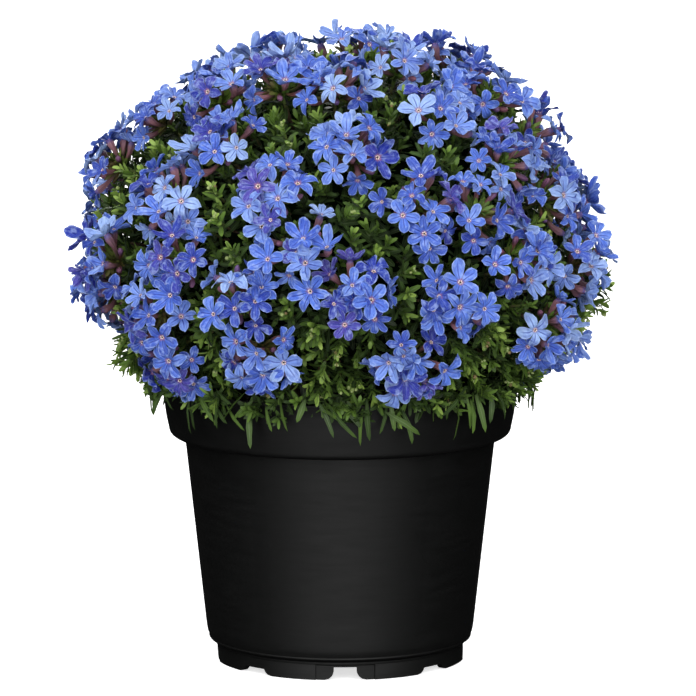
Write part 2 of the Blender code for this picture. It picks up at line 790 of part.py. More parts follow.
def tree_of(objects):
    """The finished meshes of these objects, as one tree for testing room."""
    graph = bpy.context.evaluated_depsgraph_get()
    bm = bmesh.new()
    for obj in objects:
        bm.from_mesh(obj.evaluated_get(graph).to_mesh())
    tree = BVHTree.FromBMesh(bm)
    bm.free()
    return tree


def loose_piece(collection, name, build, *arguments):
    """One loose solid of a leafy stem, in the collection that its union joins."""
    bm = bmesh.new()
    build(bm, *arguments)
    bmesh.ops.recalc_face_normals(bm, faces=bm.faces)
    mesh = bpy.data.meshes.new(name)
    bm.to_mesh(mesh)
    bm.free()
    collection.objects.link(bpy.data.objects.new(name, mesh))


def add_blade(bm, root, tip):
    corners = [bm.verts.new(p) for p in blade_points(root, tip, RIM_LEAF_WIDTH, RIM_LEAF_THICKNESS)]
    for face in RIM_LEAF_FACES:
        bm.faces.new([corners[i] for i in face])


def add_leafy_core(bm, k, stalks, trees, rng):
    """Stem k's core with a leaf raised over each cell of its face, and a stalk over some of them."""
    rows = [[bm.verts.new(point) for point in row] for row in core_rows(k)]
    cells = core_cells(rows)
    neighbours = [
        spike_tree([corner.co for corner in cells[n]], end, NEIGHBOUR_SHARE)
        for n, end in stalks.items()
    ]
    for n, cell in enumerate(cells):
        if n in stalks:
            top = [bm.verts.new(point) for point in stalks[n]]
            for i in range(3):
                j = (i + 1) % 3
                bm.faces.new((cell[i], cell[j], top[j]))
                bm.faces.new((cell[i], top[j], top[i]))
            bm.faces.new(top)
            continue
        tip_point = leaf_tip([corner.co for corner in cell], trees, neighbours, rng)
        if tip_point is None:
            bm.faces.new(cell)
            continue
        tip = bm.verts.new(tip_point)
        for i in range(3):
            bm.faces.new((cell[i], cell[(i + 1) % 3], tip))
    add_core_sides(bm, k, rows)


def join(obj, pieces):
    """Joins a collection's loose solids to an object, and removes them."""
    union = obj.modifiers.new("joined", "BOOLEAN")
    union.operation = "UNION"
    union.operand_type = "COLLECTION"
    union.collection = pieces
    union.solver = "MANIFOLD"
    apply_modifiers(obj)
    for piece in list(pieces.objects):
        bpy.data.objects.remove(piece)
    bpy.data.collections.remove(pieces)


def make_leafy_stem(k, stalks, blades, trees, rng):
    """Stem k as one solid: its leafy core joined with its woody foot and its hanging leaves."""
    bm = bmesh.new()
    add_leafy_core(bm, k, stalks, trees, rng)
    stem = add_object(f"leafy_stem_{k + 1}", bm, "leaf_green")
    pieces = bpy.data.collections.new(f"pieces_{k + 1}")
    bpy.context.scene.collection.children.link(pieces)
    loose_piece(pieces, "foot", add_woody_stem, k)
    for root, tip in blades:
        loose_piece(pieces, "blade", add_blade, root, tip)
    join(stem, pieces)
    return stem


def all_stalks(clusters):
    """Each cluster's stalk: its stem, the number and corners of the cell it grows from, and its end."""
    stalks = []
    for cluster in clusters:
        k = stem_under(cluster.site)
        cells = core_cells(core_rows(k))
        taken = [other.number for other in stalks if other.stem == k]
        n = stalk_cell(cluster, cells, taken)
        stalks.append(Stalk(k, n, cells[n], stalk_end(cluster, cells[n])))
    return stalks


def grown_round(k, solids, stalks, hanging):
    """Trees of what stem k's leaves stay clear of. They may meet their own stem's pieces at the root."""
    trees = [solids]
    for stalk in stalks:
        trees.append(stalk_tree(stalk.cell, stalk.end, ROOTED_SHARE if stalk.stem == k else 0.0))
    for j, root, tip in hanging:
        trees.append(blade_tree(root, tip, start=ROOTED_SHARE if j == k else 0.0))
    return trees


def main():
    clear_scene()
    rng = random.Random(SEED)
    pot = make_pot()
    soil = make_soil()
    clusters = cluster_sites()
    placed = []
    bpy.context.view_layer.update()
    pot_tree = tree_of([pot])
    blooms = [place_cluster(cluster, rng, placed, pot_tree) for cluster in clusters]
    heads = [
        make_cluster(f"flowers_{n + 1:02d}", cluster, flowers)
        for n, (cluster, flowers) in enumerate(zip(clusters, blooms))
    ]
    bpy.context.view_layer.update()
    solids = tree_of([pot, soil, *heads])
    stalks = all_stalks(clusters)
    hanging = rim_leaves(solids, [stalk_tree(stalk.cell, stalk.end) for stalk in stalks], rng)
    finished = []
    for k in range(STEMS):
        ends = {stalk.number: stalk.end for stalk in stalks if stalk.stem == k}
        blades = [(root, tip) for j, root, tip in hanging if j == k]
        trees = [*grown_round(k, solids, stalks, hanging), *finished]
        finished.append(tree_of([make_leafy_stem(k, ends, blades, trees, rng)]))
    print(len(clusters), "clusters,", len(placed), "flowers,", len(hanging), "hanging leaves")


main()
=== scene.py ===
"""Looks of a potted lithodora: a dome of blue funnel flowers over narrow leaves, in a black nursery pot.

Everything is in metres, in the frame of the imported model, with +Z up and the front towards -Y.
"""

import json
import math
from typing import NamedTuple

import bpy
import numpy as np
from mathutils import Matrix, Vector

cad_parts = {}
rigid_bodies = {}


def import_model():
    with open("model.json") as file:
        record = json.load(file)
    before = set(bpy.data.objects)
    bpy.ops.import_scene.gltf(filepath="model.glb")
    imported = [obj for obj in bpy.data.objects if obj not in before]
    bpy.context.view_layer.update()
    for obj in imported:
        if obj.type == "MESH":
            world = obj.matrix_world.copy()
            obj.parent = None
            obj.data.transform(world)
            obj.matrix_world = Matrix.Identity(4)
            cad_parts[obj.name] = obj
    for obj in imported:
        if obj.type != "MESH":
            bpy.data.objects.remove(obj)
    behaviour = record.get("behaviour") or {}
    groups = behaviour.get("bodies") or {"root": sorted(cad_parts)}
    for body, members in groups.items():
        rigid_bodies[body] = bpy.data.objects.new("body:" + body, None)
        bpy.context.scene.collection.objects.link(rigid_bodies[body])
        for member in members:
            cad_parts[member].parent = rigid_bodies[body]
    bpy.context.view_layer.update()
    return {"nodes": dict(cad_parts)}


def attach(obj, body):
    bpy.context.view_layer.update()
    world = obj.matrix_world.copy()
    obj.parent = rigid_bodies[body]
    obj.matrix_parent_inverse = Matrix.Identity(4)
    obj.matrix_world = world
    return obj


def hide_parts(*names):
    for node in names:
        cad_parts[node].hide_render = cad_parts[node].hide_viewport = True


bl_info = {
    "name": "Potted lithodora",
    "version": (1, 0, 0),
    "blender": (4, 5, 0),
    "location": "View3D > Sidebar > Lithodora",
    "description": "Builds the blooms, leafy shoots, soil, nursery pot and stage of a potted lithodora",
    "category": "Object",
}

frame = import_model()
NODES = frame["nodes"]

MM = 0.001
GOLDEN_ANGLE = math.pi * (3 - math.sqrt(5))
UP = np.array((0.0, 0.0, 1.0))
WHITE = (1.0, 1.0, 1.0)

# The dome of flowers that the solids follow, and the most of it that a flower may reach.
DOME_CENTRE = np.array((1.2, 0.0, 142.6)) * MM
DOME_HIGH_AXES = np.array((101.5, 99.0, 87.5)) * MM
DOME_LOW_AXES = np.array((101.5, 99.0, 58.0)) * MM
FURTHEST = 0.975

# The bush's outline seen from the front: angles from the right, counter-clockwise, and how far in it lies.
OUTLINE_ANGLES = np.radians((
    -90.0, -40.0, -20.0, -10.0, 0.0, 10.0, 30.0, 50.0, 90.0, 130.0, 150.0, 180.0, 190.0, 200.0, 210.0, 270.0,
))
OUTLINE_SHARES = np.array((
    1.0, 0.95, 0.98, 1.05, 1.01, 0.91, 0.945, 1.035, 1.0, 0.995, 1.03, 0.965, 0.91, 1.06, 1.01, 1.0,
))

# Tube shaped pieces: share of the way from hub to face, lift above the face and radius, as
# a part in millimetres and a part in flower radii, and the value that colours the row.
TUBE_ROWS = np.array((
    (0.04, 0.00, 0.50, 0.00, 0.02),
    (0.34, 0.00, 0.65, 0.00, 0.25),
    (0.66, 0.00, 0.90, 0.01, 0.50),
    (0.88, 0.00, 1.05, 0.08, 0.62),
    (1.00, -0.05, 0.30, 0.15, 0.72),
    (1.00, 0.035, 0.00, 0.115, 0.86),
    (1.00, 0.02, 0.00, 0.055, 0.94),
))
BUD_ROWS = np.array((
    (0.04, 0.0, 0.50, 0.0, 0.02),
    (0.45, 0.0, 0.70, 0.0, 0.36),
    (0.72, 0.0, 0.95, 0.0, 0.60),
    (0.86, 0.0, 1.10, 0.0, 0.72),
    (0.96, 0.0, 0.85, 0.0, 0.80),
    (1.00, 0.0, 0.40, 0.0, 0.88),
))
THROAT_DEPTH = 1.3 * MM
BUD_POINT = 0.4 * MM

# Petal lobes: distances from the throat of the rows of a lobe, as shares of the flower's radius.
LOBE_ROWS = np.array((0.10, 0.27, 0.46, 0.66, 0.84, 0.96))
LOBE_COLUMNS = np.linspace(-1.0, 1.0, 5)
LOBE_ROUNDING = np.array((0.0, 0.0, 0.0, 0.01, 0.02, 0.04))[:, None] * (1 - LOBE_COLUMNS**2)
LOBE_WIDEST = 0.69
LOBE_WAIST = 0.2
LOBE_HALF_WIDTHS = {5: 0.312, 6: 0.274, 7: 0.24}
LOBE_CHANCES = (0.6, 0.32, 0.08)
FUNNEL_HEIGHT, FUNNEL_LENGTH = 0.27, 0.24
BEND_START = 0.42
CREASE_DEPTH, CREASE_WIDTH = 0.035, 0.3
PETAL_THICKNESS = 0.25 * MM

# Posies: how far in and down the flowers of a cluster are drawn, and how they lean out at this radius.
CLUSTER_RADIUS = 16.0 * MM
CLUSTER_WIDTH = 0.74
CLUSTER_DROP = 2.6 * MM
CLUSTER_LEAN = 0.3

# Flowers and buds that fill gaps: distance from the hub, radius, and the room to the next face.
SMALL_FLOWERS = ((10.5 * MM, 14.0 * MM), (4.9 * MM, 6.2 * MM), 5.6 * MM)
CLOSED_BUDS = ((7.5 * MM, 12.0 * MM), (2.0 * MM, 2.4 * MM), 4.0 * MM)

# Leaf blades: the rows of a blade along its length and their half widths, as shares of the widest.
BLADE_ROWS = np.array((0.08, 0.5, 0.88))
BLADE_WIDTHS = np.array((0.55, 1.0, 0.66))
SEPALS = 5

# The stems stand on a circle in the soil. Twigs start at one share of the dome and the dark inside ends
# at another. A shoot tip that is nearer than COVERED to a flower's face is mostly hidden by it.
STEMS = 7
STEM_CIRCLE = 17.0 * MM
TWIG_START = 0.6
CORE_SHARE = 0.71
COVERED = 5.0 * MM

# The pot's foot: the half widths of its notches and panels, how high and deep they are, and the angles'
# marks beside a notch. FOOT_OUTLINE is out from the foot ring and up from the table, in millimetres.
NOTCHES = 8
FIRST_NOTCH = math.radians(-87.5)
NOTCH_MARKS = np.array((4.28, 4.32, 4.5, 5.0, 6.0, 7.7, 10.75, 10.85)) * MM
NOTCH_TOP, NOTCH_FOOT, PANEL_WIDTH = 4.3 * MM, 7.7 * MM, 10.8 * MM
DEEP_NOTCH, SHALLOW_NOTCH, PANEL_DEPTH = 4.7 * MM, 2.3 * MM, 0.6 * MM
PANEL_TOP = 5.3 * MM
FOOT_OUTLINE = (
    (-0.1, 5.6), (0.0, 5.8), (0.0, 6.5), (0.4, 6.9), (1.4, 7.2),
    (2.1, 7.7), (2.3, 8.0), (2.3, 8.2), (2.15, 8.5), (2.3, 9.0),
)
DRAIN_CIRCLE, DRAIN_RADIUS, DRAIN_SIDES = 37 * MM, 3.6 * MM, 24
SOIL_GAP = 0.4 * MM
SOIL_MOUND = 1.4

# The camera: what it looks at, from how far and how high, and the width that it sees there.
CAMERA_AIM = Vector((0.0029, 0.0, 0.1138))
CAMERA_DISTANCE = 2.2
CAMERA_RISE = math.radians(9)
CAMERA_VIEW = 0.2533
SENSOR_WIDTH = 36.0
FLOOR_REACH = 8.0

# Places in the lists of materials of the leafy shoots and of the blooms.
LEAF, BARK, BEAD = 0, 1, 2
PETAL, TUBE, BUD, SEPAL = 0, 1, 2, 3


class Surface(NamedTuple):
    """Closed surfaces: points, faces, each point's place across and along, its tone, and their finish."""

    points: np.ndarray
    faces: list
    across: np.ndarray
    tone: np.ndarray
    finish: int


class Flowers(NamedTuple):
    """Flowers of one cluster: middles of the faces, directions, first lobes, radii and the cluster's hub."""

    centre: np.ndarray
    axis: np.ndarray
    first: np.ndarray
    radius: np.ndarray
    hub: np.ndarray


class Shoots(NamedTuple):
    """Leafy shoots: tips, directions, lengths of their leafy ends, and tones."""

    tip: np.ndarray
    axis: np.ndarray
    length: np.ndarray
    tone: np.ndarray


def chosen(group, which):
    return type(group)(*[values[which] for values in group])


def joined_flowers(parts):
    return Flowers(*[np.concatenate(values) for values in zip(*parts)])


def unit(vectors):
    return vectors / np.linalg.norm(vectors, axis=-1, keepdims=True)


def smooth_step(low, high, values):
    """Rises from 0 at low to 1 at high, level at both ends."""
    t = np.clip((values - low) / (high - low), 0.0, 1.0)
    return t * t * (3 - 2 * t)


def level_ways(turn):
    """Level unit vectors at these angles round the upright axis."""
    return np.stack([np.cos(turn), np.sin(turn), np.zeros_like(turn)], axis=-1)


def round_ways(turn, first, second):
    """Directions from first, at 0, towards second, at a quarter turn."""
    return np.cos(turn)[..., None] * first + np.sin(turn)[..., None] * second


def dome_axes(offset):
    """Half axes of the dome on the side where each offset from its middle lies: the lower half is flatter."""
    return np.where(offset[..., 2:] >= 0, DOME_HIGH_AXES, DOME_LOW_AXES)


def on_dome(directions, share=1.0):
    """Where rays from the dome's middle meet the dome scaled by share, which is two half ellipsoids."""
    reach = np.linalg.norm(directions / dome_axes(directions), axis=-1, keepdims=True)
    share = np.broadcast_to(share, directions.shape[:-1])[..., None]
    return DOME_CENTRE + share * directions / reach


def dome_share(points):
    """How far points lie from the dome's middle, as a share of the way to its surface."""
    offset = points - DOME_CENTRE
    return np.linalg.norm(offset / dome_axes(offset), axis=-1)


def dome_normals(points):
    """Outward directions of the dome at points on or in it: each coordinate over its half axis squared."""
    offset = points - DOME_CENTRE
    return unit(offset / dome_axes(offset) ** 2)


def outline_share(points):
    """How far in the bush's outline lies where points are near it, seen from the front, and 1 elsewhere."""
    way = unit(points - DOME_CENTRE)
    turn = (np.arctan2(way[..., 2], way[..., 0]) + math.pi / 2) % math.tau - math.pi / 2
    near = smooth_step(0.8, 0.98, np.hypot(way[..., 0], way[..., 2]))
    return 1 + near * (np.interp(turn, OUTLINE_ANGLES, OUTLINE_SHARES) - 1)


def spiral_directions(count, lowest):
    """Golden spiral of unit vectors, even in area, from straight up down to an elevation in degrees."""
    k = np.arange(count)
    height = 1 - (k + 0.5) / count * (1 - math.sin(math.radians(lowest)))
    level = np.sqrt(1 - height**2)
    return np.stack([level * np.cos(GOLDEN_ANGLE * k), level * np.sin(GOLDEN_ANGLE * k), height], axis=-1)


def square_to(axis, first):
    """The part of first that is square to axis, as a unit vector, and the third direction of the frame."""
    first = unit(first - np.sum(first * axis, axis=-1, keepdims=True) * axis)
    return first, np.cross(axis, first)


def any_square(axis):
    """A unit vector square to each axis."""
    helper = np.where(np.abs(axis[..., 2:]) < 0.9, UP, np.array((1.0, 0.0, 0.0)))
    return unit(np.cross(helper, axis))


def parabola(t, start, middle, end):
    """Points and tangents at shares t of the way along parabolas from start to end, pulled towards middle."""
    points = (1 - t) ** 2 * start + 2 * t * (1 - t) * middle + t**2 * end
    return points, 2 * (1 - t) * (middle - start) + 2 * t * (end - middle)


def tube_faces(rows, sides):
    """Faces of a tube of rings that ends in a point at both ends: the start, the rings, the end."""
    k = np.arange(sides)
    after = (k + 1) % sides
    first = 1 + np.arange(rows - 1)[:, None] * sides
    walls = np.stack([first + k, first + after, first + sides + after, first + sides + k], axis=-1)
    top = 1 + (rows - 1) * sides
    start = np.stack([np.zeros(sides, int), 1 + after, 1 + k], axis=-1)
    end = np.stack([top + k, top + after, np.full(sides, top + sides)], axis=-1)
    return [walls.reshape(-1, 4), start, end]


def pillow_faces(rows, columns):
    """Faces of a thin closed cushion: an upper grid, and a lower one that shares its border."""
    upper = np.arange(rows * columns).reshape(rows, columns)
    lower = upper.copy()
    inner = (rows - 2) * (columns - 2)
    lower[1:-1, 1:-1] = rows * columns + np.arange(inner).reshape(rows - 2, columns - 2)

    def quads(grid):
        return np.stack([grid[:-1, :-1], grid[1:, :-1], grid[1:, 1:], grid[:-1, 1:]], axis=-1).reshape(-1, 4)

    return [quads(upper), quads(lower)[:, ::-1]]


def repeated(faces, count, size):
    """The same faces for each of count shapes of size points."""
    shift = (np.arange(count) * size)[:, None, None]
    return [(block + shift).reshape(-1, block.shape[1]) for block in faces]


def circles(radii, sides):
    """Sections of round tubes from their radii, which are (count, rows)."""
    angle = math.tau * np.arange(sides) / sides
    return radii[..., None, None] * np.stack([np.cos(angle), np.sin(angle)], axis=-1)


def closed_tubes(centres, first, second, sections, start, end, along, tone, finish, across=None, at_ends=0.5):
    """Closed tubes: a section round each centre, laid out on two directions, and a point at each end.

    centres is (count, rows, 3), first and second go with it, and sections is (count, rows, sides, 2).
    along is the place of each row from 0 to 1, across that of each point of a ring, 0.5 if not given,
    and at_ends that of both ends.
    """
    rings = centres[:, :, None] + sections[..., :1] * first[:, :, None]
    rings = rings + sections[..., 1:] * second[:, :, None]
    count, rows, sides = rings.shape[:3]
    points = np.concatenate([start[:, None], rings.reshape(count, rows * sides, 3), end[:, None]], axis=1)
    size = points.shape[1]
    across = np.full(sides, 0.5) if across is None else across
    u = np.concatenate([[at_ends], np.tile(across, rows), [at_ends]])
    v = np.concatenate([[0.0], np.repeat(along, sides), [1.0]])
    place = np.tile(np.stack([u, v], axis=-1), (count, 1))
    faces = repeated(tube_faces(rows, sides), count, size)
    return Surface(points.reshape(-1, 3), faces, place, np.repeat(tone, size), finish)


def blades(base, tip, upper, width, bend, tone, finish=LEAF):
    """Narrow leaves: a lens shaped section, folded up along its midrib, carried from base to tip on an arc.

    upper is the direction of the upper side, width is the whole width, and bend is how far the middle of
    the arc rises from the chord, as a share of its length.
    """
    base, tip, upper = (values.reshape(-1, 3) for values in (base, tip, upper))
    width, bend, tone = (values.ravel() for values in (width, bend, tone))
    along = tip - base
    length = np.linalg.norm(along, axis=-1, keepdims=True)
    side = unit(np.cross(upper, along))
    upper = unit(np.cross(along, side))
    t = BLADE_ROWS[None, :, None]
    arc = 4 * t * (1 - t) * bend[:, None, None] * length[:, None]
    centres = base[:, None] + t * along[:, None] + arc * upper[:, None]
    half = 0.5 * width[:, None] * BLADE_WIDTHS
    fold, thick, zero = 0.28 * half, 0.12 * half + 0.1 * MM, np.zeros_like(half)
    corners = ((half, fold), (zero, thick), (-half, fold), (zero, -thick))
    sections = np.stack([np.stack(corner, axis=-1) for corner in corners], axis=2)
    directions = side[:, None], upper[:, None]
    across = (1.0, 0.5, 0.0, 0.5)
    return closed_tubes(centres, *directions, sections, base, tip, BLADE_ROWS, tone, finish, across)


def twigs(start, middle, end, radius, sides, tone):
    """Thin stems along parabolas, which taper to half their radius."""
    t = np.linspace(0.0, 1.0, 3)[None, :, None]
    centres, tangent = parabola(t, start[:, None], middle[:, None], end[:, None])
    tangent = unit(tangent)
    first, second = square_to(tangent, any_square(tangent[:, :1]))
    sections = circles(radius * (1 - 0.5 * t[..., 0]), sides)
    return closed_tubes(centres, first, second, sections, start, end, t[0, :, 0], tone, BARK)


def flower_tubes(flowers, rows, sides, tone, dip, finish):
    """Tubes from the hub to each face along a parabola that arrives square to the face.

    Each row of the table gives a share of the way, a lift, a radius in millimetres and in flower radii.
    """
    share, lift, fixed, scaled, value = rows.T
    radius = flowers.radius[:, None]
    start, end, axis = flowers.hub[:, None], flowers.centre[:, None], flowers.axis[:, None]
    reach = np.linalg.norm(end - start, axis=-1, keepdims=True)
    centres, tangent = parabola(share[None, :, None], start, end - 0.55 * reach * axis, end)
    centres = centres + (lift * radius)[..., None] * axis
    directions = square_to(unit(tangent + 1e-4 * axis * MM), flowers.first[:, None])
    sections = circles(fixed * MM + scaled * radius, sides)
    ends = flowers.hub, flowers.centre + dip * flowers.axis
    across = np.arange(sides) / sides
    return closed_tubes(centres, *directions, sections, *ends, value, tone, finish, across, 0.0)


def lobe_width(reach, lobes):
    """Half width of a lobe: joined to its neighbours near the throat, then spoon shaped with a round tip."""
    joined = reach * math.tan(math.pi / lobes)
    outer = np.sqrt(np.clip(1 - ((reach - LOBE_WIDEST) / (1 - LOBE_WIDEST)) ** 2, 0.0, 1.0))
    inner = 1 - LOBE_WAIST * ((LOBE_WIDEST - reach) / 0.3) ** 2
    free = LOBE_HALF_WIDTHS[lobes] * np.where(reach > LOBE_WIDEST, outer, inner)
    return np.minimum(joined, free)


def petals(flowers, lobes, cup, tone, rng):
    """The limbs of flowers with this many lobes, each lobe a thin cushion.

    A point of a lobe lies at a distance from the throat and across its middle line. Its height is a
    funnel, a bend of the outer part up or down, a fold along the middle line and a soft wave.
    """
    count = len(flowers.radius)
    shape = (count, lobes, 1, 1)
    across = LOBE_COLUMNS
    reach = LOBE_ROWS[:, None] + LOBE_ROUNDING
    outer = smooth_step(0.35, 0.75, reach)
    length = 1 + outer * rng.uniform(-0.1, 0.04, shape)
    length = length + outer * rng.uniform(0.0, 0.08, shape) * np.exp(-((across / 0.4) ** 2))
    width = 1 + outer * rng.uniform(-0.14, 0.08, shape)
    turn = math.tau * np.arange(lobes)[:, None, None] / lobes + outer * rng.uniform(-0.09, 0.09, shape)
    x = reach * length
    y = lobe_width(LOBE_ROWS, lobes)[:, None] * width * across
    bend = cup[:, None, None, None] + rng.normal(0.0, 0.42, shape)
    fold = rng.uniform(0.0, 1.1, shape)
    twist = rng.uniform(-0.55, 0.55, shape)
    wave = 0.05 * np.sin(10 * reach + 2.5 * across + rng.uniform(0.0, math.tau, shape))
    crease = CREASE_DEPTH * np.exp(-((across / CREASE_WIDTH) ** 2))
    height = FUNNEL_HEIGHT * (1 - np.exp(-(reach - LOBE_ROWS[0]) / FUNNEL_LENGTH))
    height = height + bend * np.clip(reach - BEND_START, 0.0, None) ** 2
    height = height + outer * (fold * np.abs(y) ** 1.4 + twist * y + wave)
    height = height + 0.05 * np.abs(across) * (1 - outer) - crease
    cosine, sine = np.cos(turn), np.sin(turn)
    centre, first, axis = (v[:, None, None, None] for v in (flowers.centre, flowers.first, flowers.axis))
    top = centre + flowers.radius[:, None, None, None, None] * (
        (x * cosine - y * sine)[..., None] * first
        + (x * sine + y * cosine)[..., None] * np.cross(axis, first)
        + height[..., None] * axis
    )
    low = top[:, :, 1:-1, 1:-1] - PETAL_THICKNESS * axis
    points = np.concatenate([layer.reshape(count * lobes, -1, 3) for layer in (top, low)], axis=1)
    u, v = np.meshgrid(LOBE_COLUMNS / 2 + 0.5, LOBE_ROWS)
    grid = np.stack([u, v + LOBE_ROUNDING], axis=-1)
    place = np.concatenate([grid.reshape(-1, 2), grid[1:-1, 1:-1].reshape(-1, 2)])
    size = len(place)
    tones = np.repeat(tone, lobes * size) + np.repeat(rng.normal(0.0, 0.045, count * lobes), size)
    faces = repeated(pillow_faces(*u.shape), count * lobes, size)
    return Surface(points.reshape(-1, 3), faces, np.tile(place, (count * lobes, 1)), tones, PETAL)


def linked(name, data):
    """A new object in the scene, at the origin."""
    made = bpy.data.objects.new(name, data)
    bpy.context.scene.collection.objects.link(made)
    return made


def joined_faces(surfaces):
    """Points of all the surfaces, and each block of their faces, numbered through, with its finish."""
    starts = np.cumsum([0] + [len(s.points) for s in surfaces])
    blocks = [(block + start, s.finish) for s, start in zip(surfaces, starts) for block in s.faces]
    return np.concatenate([s.points for s in surfaces]), blocks


def add_piece(name, surfaces, materials, nodes=(), sharp=50):
    """Joins surfaces into one object at the origin that rides on the root and stands for these nodes."""
    points, blocks = joined_faces(surfaces)
    corners = np.concatenate([block.ravel() for block, _ in blocks])
    totals = np.concatenate([np.full(len(block), block.shape[1]) for block, _ in blocks])
    finishes = np.concatenate([np.full(len(block), finish) for block, finish in blocks])
    mesh = bpy.data.meshes.new(name)
    mesh.vertices.add(len(points))
    mesh.vertices.foreach_set("co", points.astype(np.float32).ravel())
    mesh.loops.add(len(corners))
    mesh.loops.foreach_set("vertex_index", corners.astype(np.int32))
    mesh.polygons.add(len(totals))
    mesh.polygons.foreach_set("loop_start", (np.cumsum(totals) - totals).astype(np.int32))
    mesh.polygons.foreach_set("material_index", finishes.astype(np.int32))
    mesh.update(calc_edges=True)
    across = np.concatenate([s.across for s in surfaces])
    mesh.uv_layers.new(name="place").uv.foreach_set("vector", across[corners].astype(np.float32).ravel())
    tone = mesh.attributes.new("tone", "FLOAT", "POINT")
    tone.data.foreach_set("value", np.concatenate([s.tone for s in surfaces]).astype(np.float32))
    mesh.shade_smooth()
    mesh.set_sharp_from_angle(angle=math.radians(sharp))
    for made in materials:
        mesh.materials.append(made)
    piece = linked(name, mesh)
    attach(piece, "root")
    if nodes:
        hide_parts(*nodes)
    return piece


def cut_holes(piece, surfaces):
    """Cuts closed surfaces out of a piece and keeps the mesh that results."""
    points, blocks = joined_faces(surfaces)
    mesh = bpy.data.meshes.new("cutter")
    mesh.from_pydata(points.tolist(), [], [tuple(face) for block, _ in blocks for face in block.tolist()])
    cutter = linked("cutter", mesh)
    modifier = piece.modifiers.new("holes", "BOOLEAN")
    modifier.operation = "DIFFERENCE"
    modifier.object = cutter
    graph = bpy.context.evaluated_depsgraph_get()
    piece.data = bpy.data.meshes.new_from_object(piece.evaluated_get(graph))
    piece.modifiers.clear()
    bpy.data.objects.remove(cutter)


class Nodes:
    """Short calls for the nodes of a material or a world. An input is a value or another node's output."""

    def __init__(self, tree):
        self.tree = tree

    def put(self, socket, value):
        if isinstance(value, bpy.types.NodeSocket):
            self.tree.links.new(value, socket)
        else:
            socket.default_value = (*value, 1.0) if socket.type == "RGBA" else value

    def node(self, kind, inputs=(), **settings):
        made = self.tree.nodes.new(kind)
        for key, value in settings.items():
            setattr(made, key, value)
        for key, value in dict(inputs).items():
            self.put(made.inputs[key], value)
        return made

    def math(self, operation, a, b=0.0, clamp=False):
        return self.node("ShaderNodeMath", {0: a, 1: b}, operation=operation, use_clamp=clamp).outputs[0]

    def plus(self, a, b):
        return self.math("ADD", a, b)

    def times(self, first, *others):
        for other in others:
            first = self.math("MULTIPLY", first, other)
        return first

    def between(self, value, low, high, at_low, at_high, **settings):
        """Goes from one number at low to another at high."""
        inputs = {"Value": value, "From Min": low, "From Max": high, "To Min": at_low, "To Max": at_high}
        return self.node("ShaderNodeMapRange", inputs, **settings).outputs[0]

    def step(self, low, high, value):
        """Rises smoothly from 0 at low to 1 at high."""
        return self.between(value, low, high, 0.0, 1.0, interpolation_type="SMOOTHSTEP")

    def fall(self, low, high, value):
        """Falls smoothly from 1 at low to 0 at high."""
        return self.math("SUBTRACT", 1.0, self.step(low, high, value))


class Shader(Nodes):
    """A material, with short calls for the patterns that this file uses."""

    def __init__(self, name, **inputs):
        self.material = bpy.data.materials.new(name)
        self.material.use_nodes = True
        super().__init__(self.material.node_tree)
        self.surface = self.tree.nodes["Principled BSDF"]
        for key, value in inputs.items():
            self.put(self.surface.inputs[key.replace("_", " ")], value)

    def mix(self, factor, a, b):
        inputs = {"Factor": factor, "A": a, "B": b}
        return self.node("ShaderNodeMix", inputs, data_type="RGBA").outputs["Result"]

    def over(self, colour, *layers):
        """Lays colours over a colour, each with where it lies and how strong it is there."""
        for where, strength, other in layers:
            colour = self.mix(self.times(where, strength), colour, other)
        return colour

    def ramp(self, value, stops):
        made = self.node("ShaderNodeValToRGB", {0: value})
        elements = made.color_ramp.elements
        while len(elements) < len(stops):
            elements.new(0.5)
        for element, (place, colour) in zip(elements, stops):
            element.position = place
            element.color = (*colour, 1.0)
        return made.outputs[0]

    def noise(self, scale, detail, vector=None, rough=0.5):
        inputs = {"Vector": vector or self.objects(), "Scale": scale, "Detail": detail, "Roughness": rough}
        return self.node("ShaderNodeTexNoise", inputs).outputs[0]

    def objects(self):
        return self.node("ShaderNodeTexCoord").outputs["Object"]

    def uv(self):
        return self.node("ShaderNodeUVMap", uv_map="place").outputs[0]

    def stretched(self, vector, scale):
        return self.node("ShaderNodeMapping", {"Vector": vector, "Scale": scale}).outputs[0]

    def place(self):
        """Where a point lies: across from 0, the middle, to 1, the edges; along; and across from 0 to 1."""
        parts = self.node("ShaderNodeSeparateXYZ", {0: self.uv()})
        centred = self.math("SUBTRACT", parts.outputs[0], 0.5)
        return self.times(self.math("ABSOLUTE", centred), 2.0), parts.outputs[1], parts.outputs[0]

    def tone(self):
        return self.node("ShaderNodeAttribute", attribute_name="tone").outputs["Fac"]

    def finish(self, colour, height=None, strength=0.0, distance=0.0):
        """Sets the colour, and a bump of this height where one is given, and gives the material."""
        self.put(self.surface.inputs["Base Color"], colour)
        if height:
            inputs = {"Height": height, "Strength": strength, "Distance": distance}
            self.put(self.surface.inputs["Normal"], self.node("ShaderNodeBump", inputs).outputs[0])
        return self.material


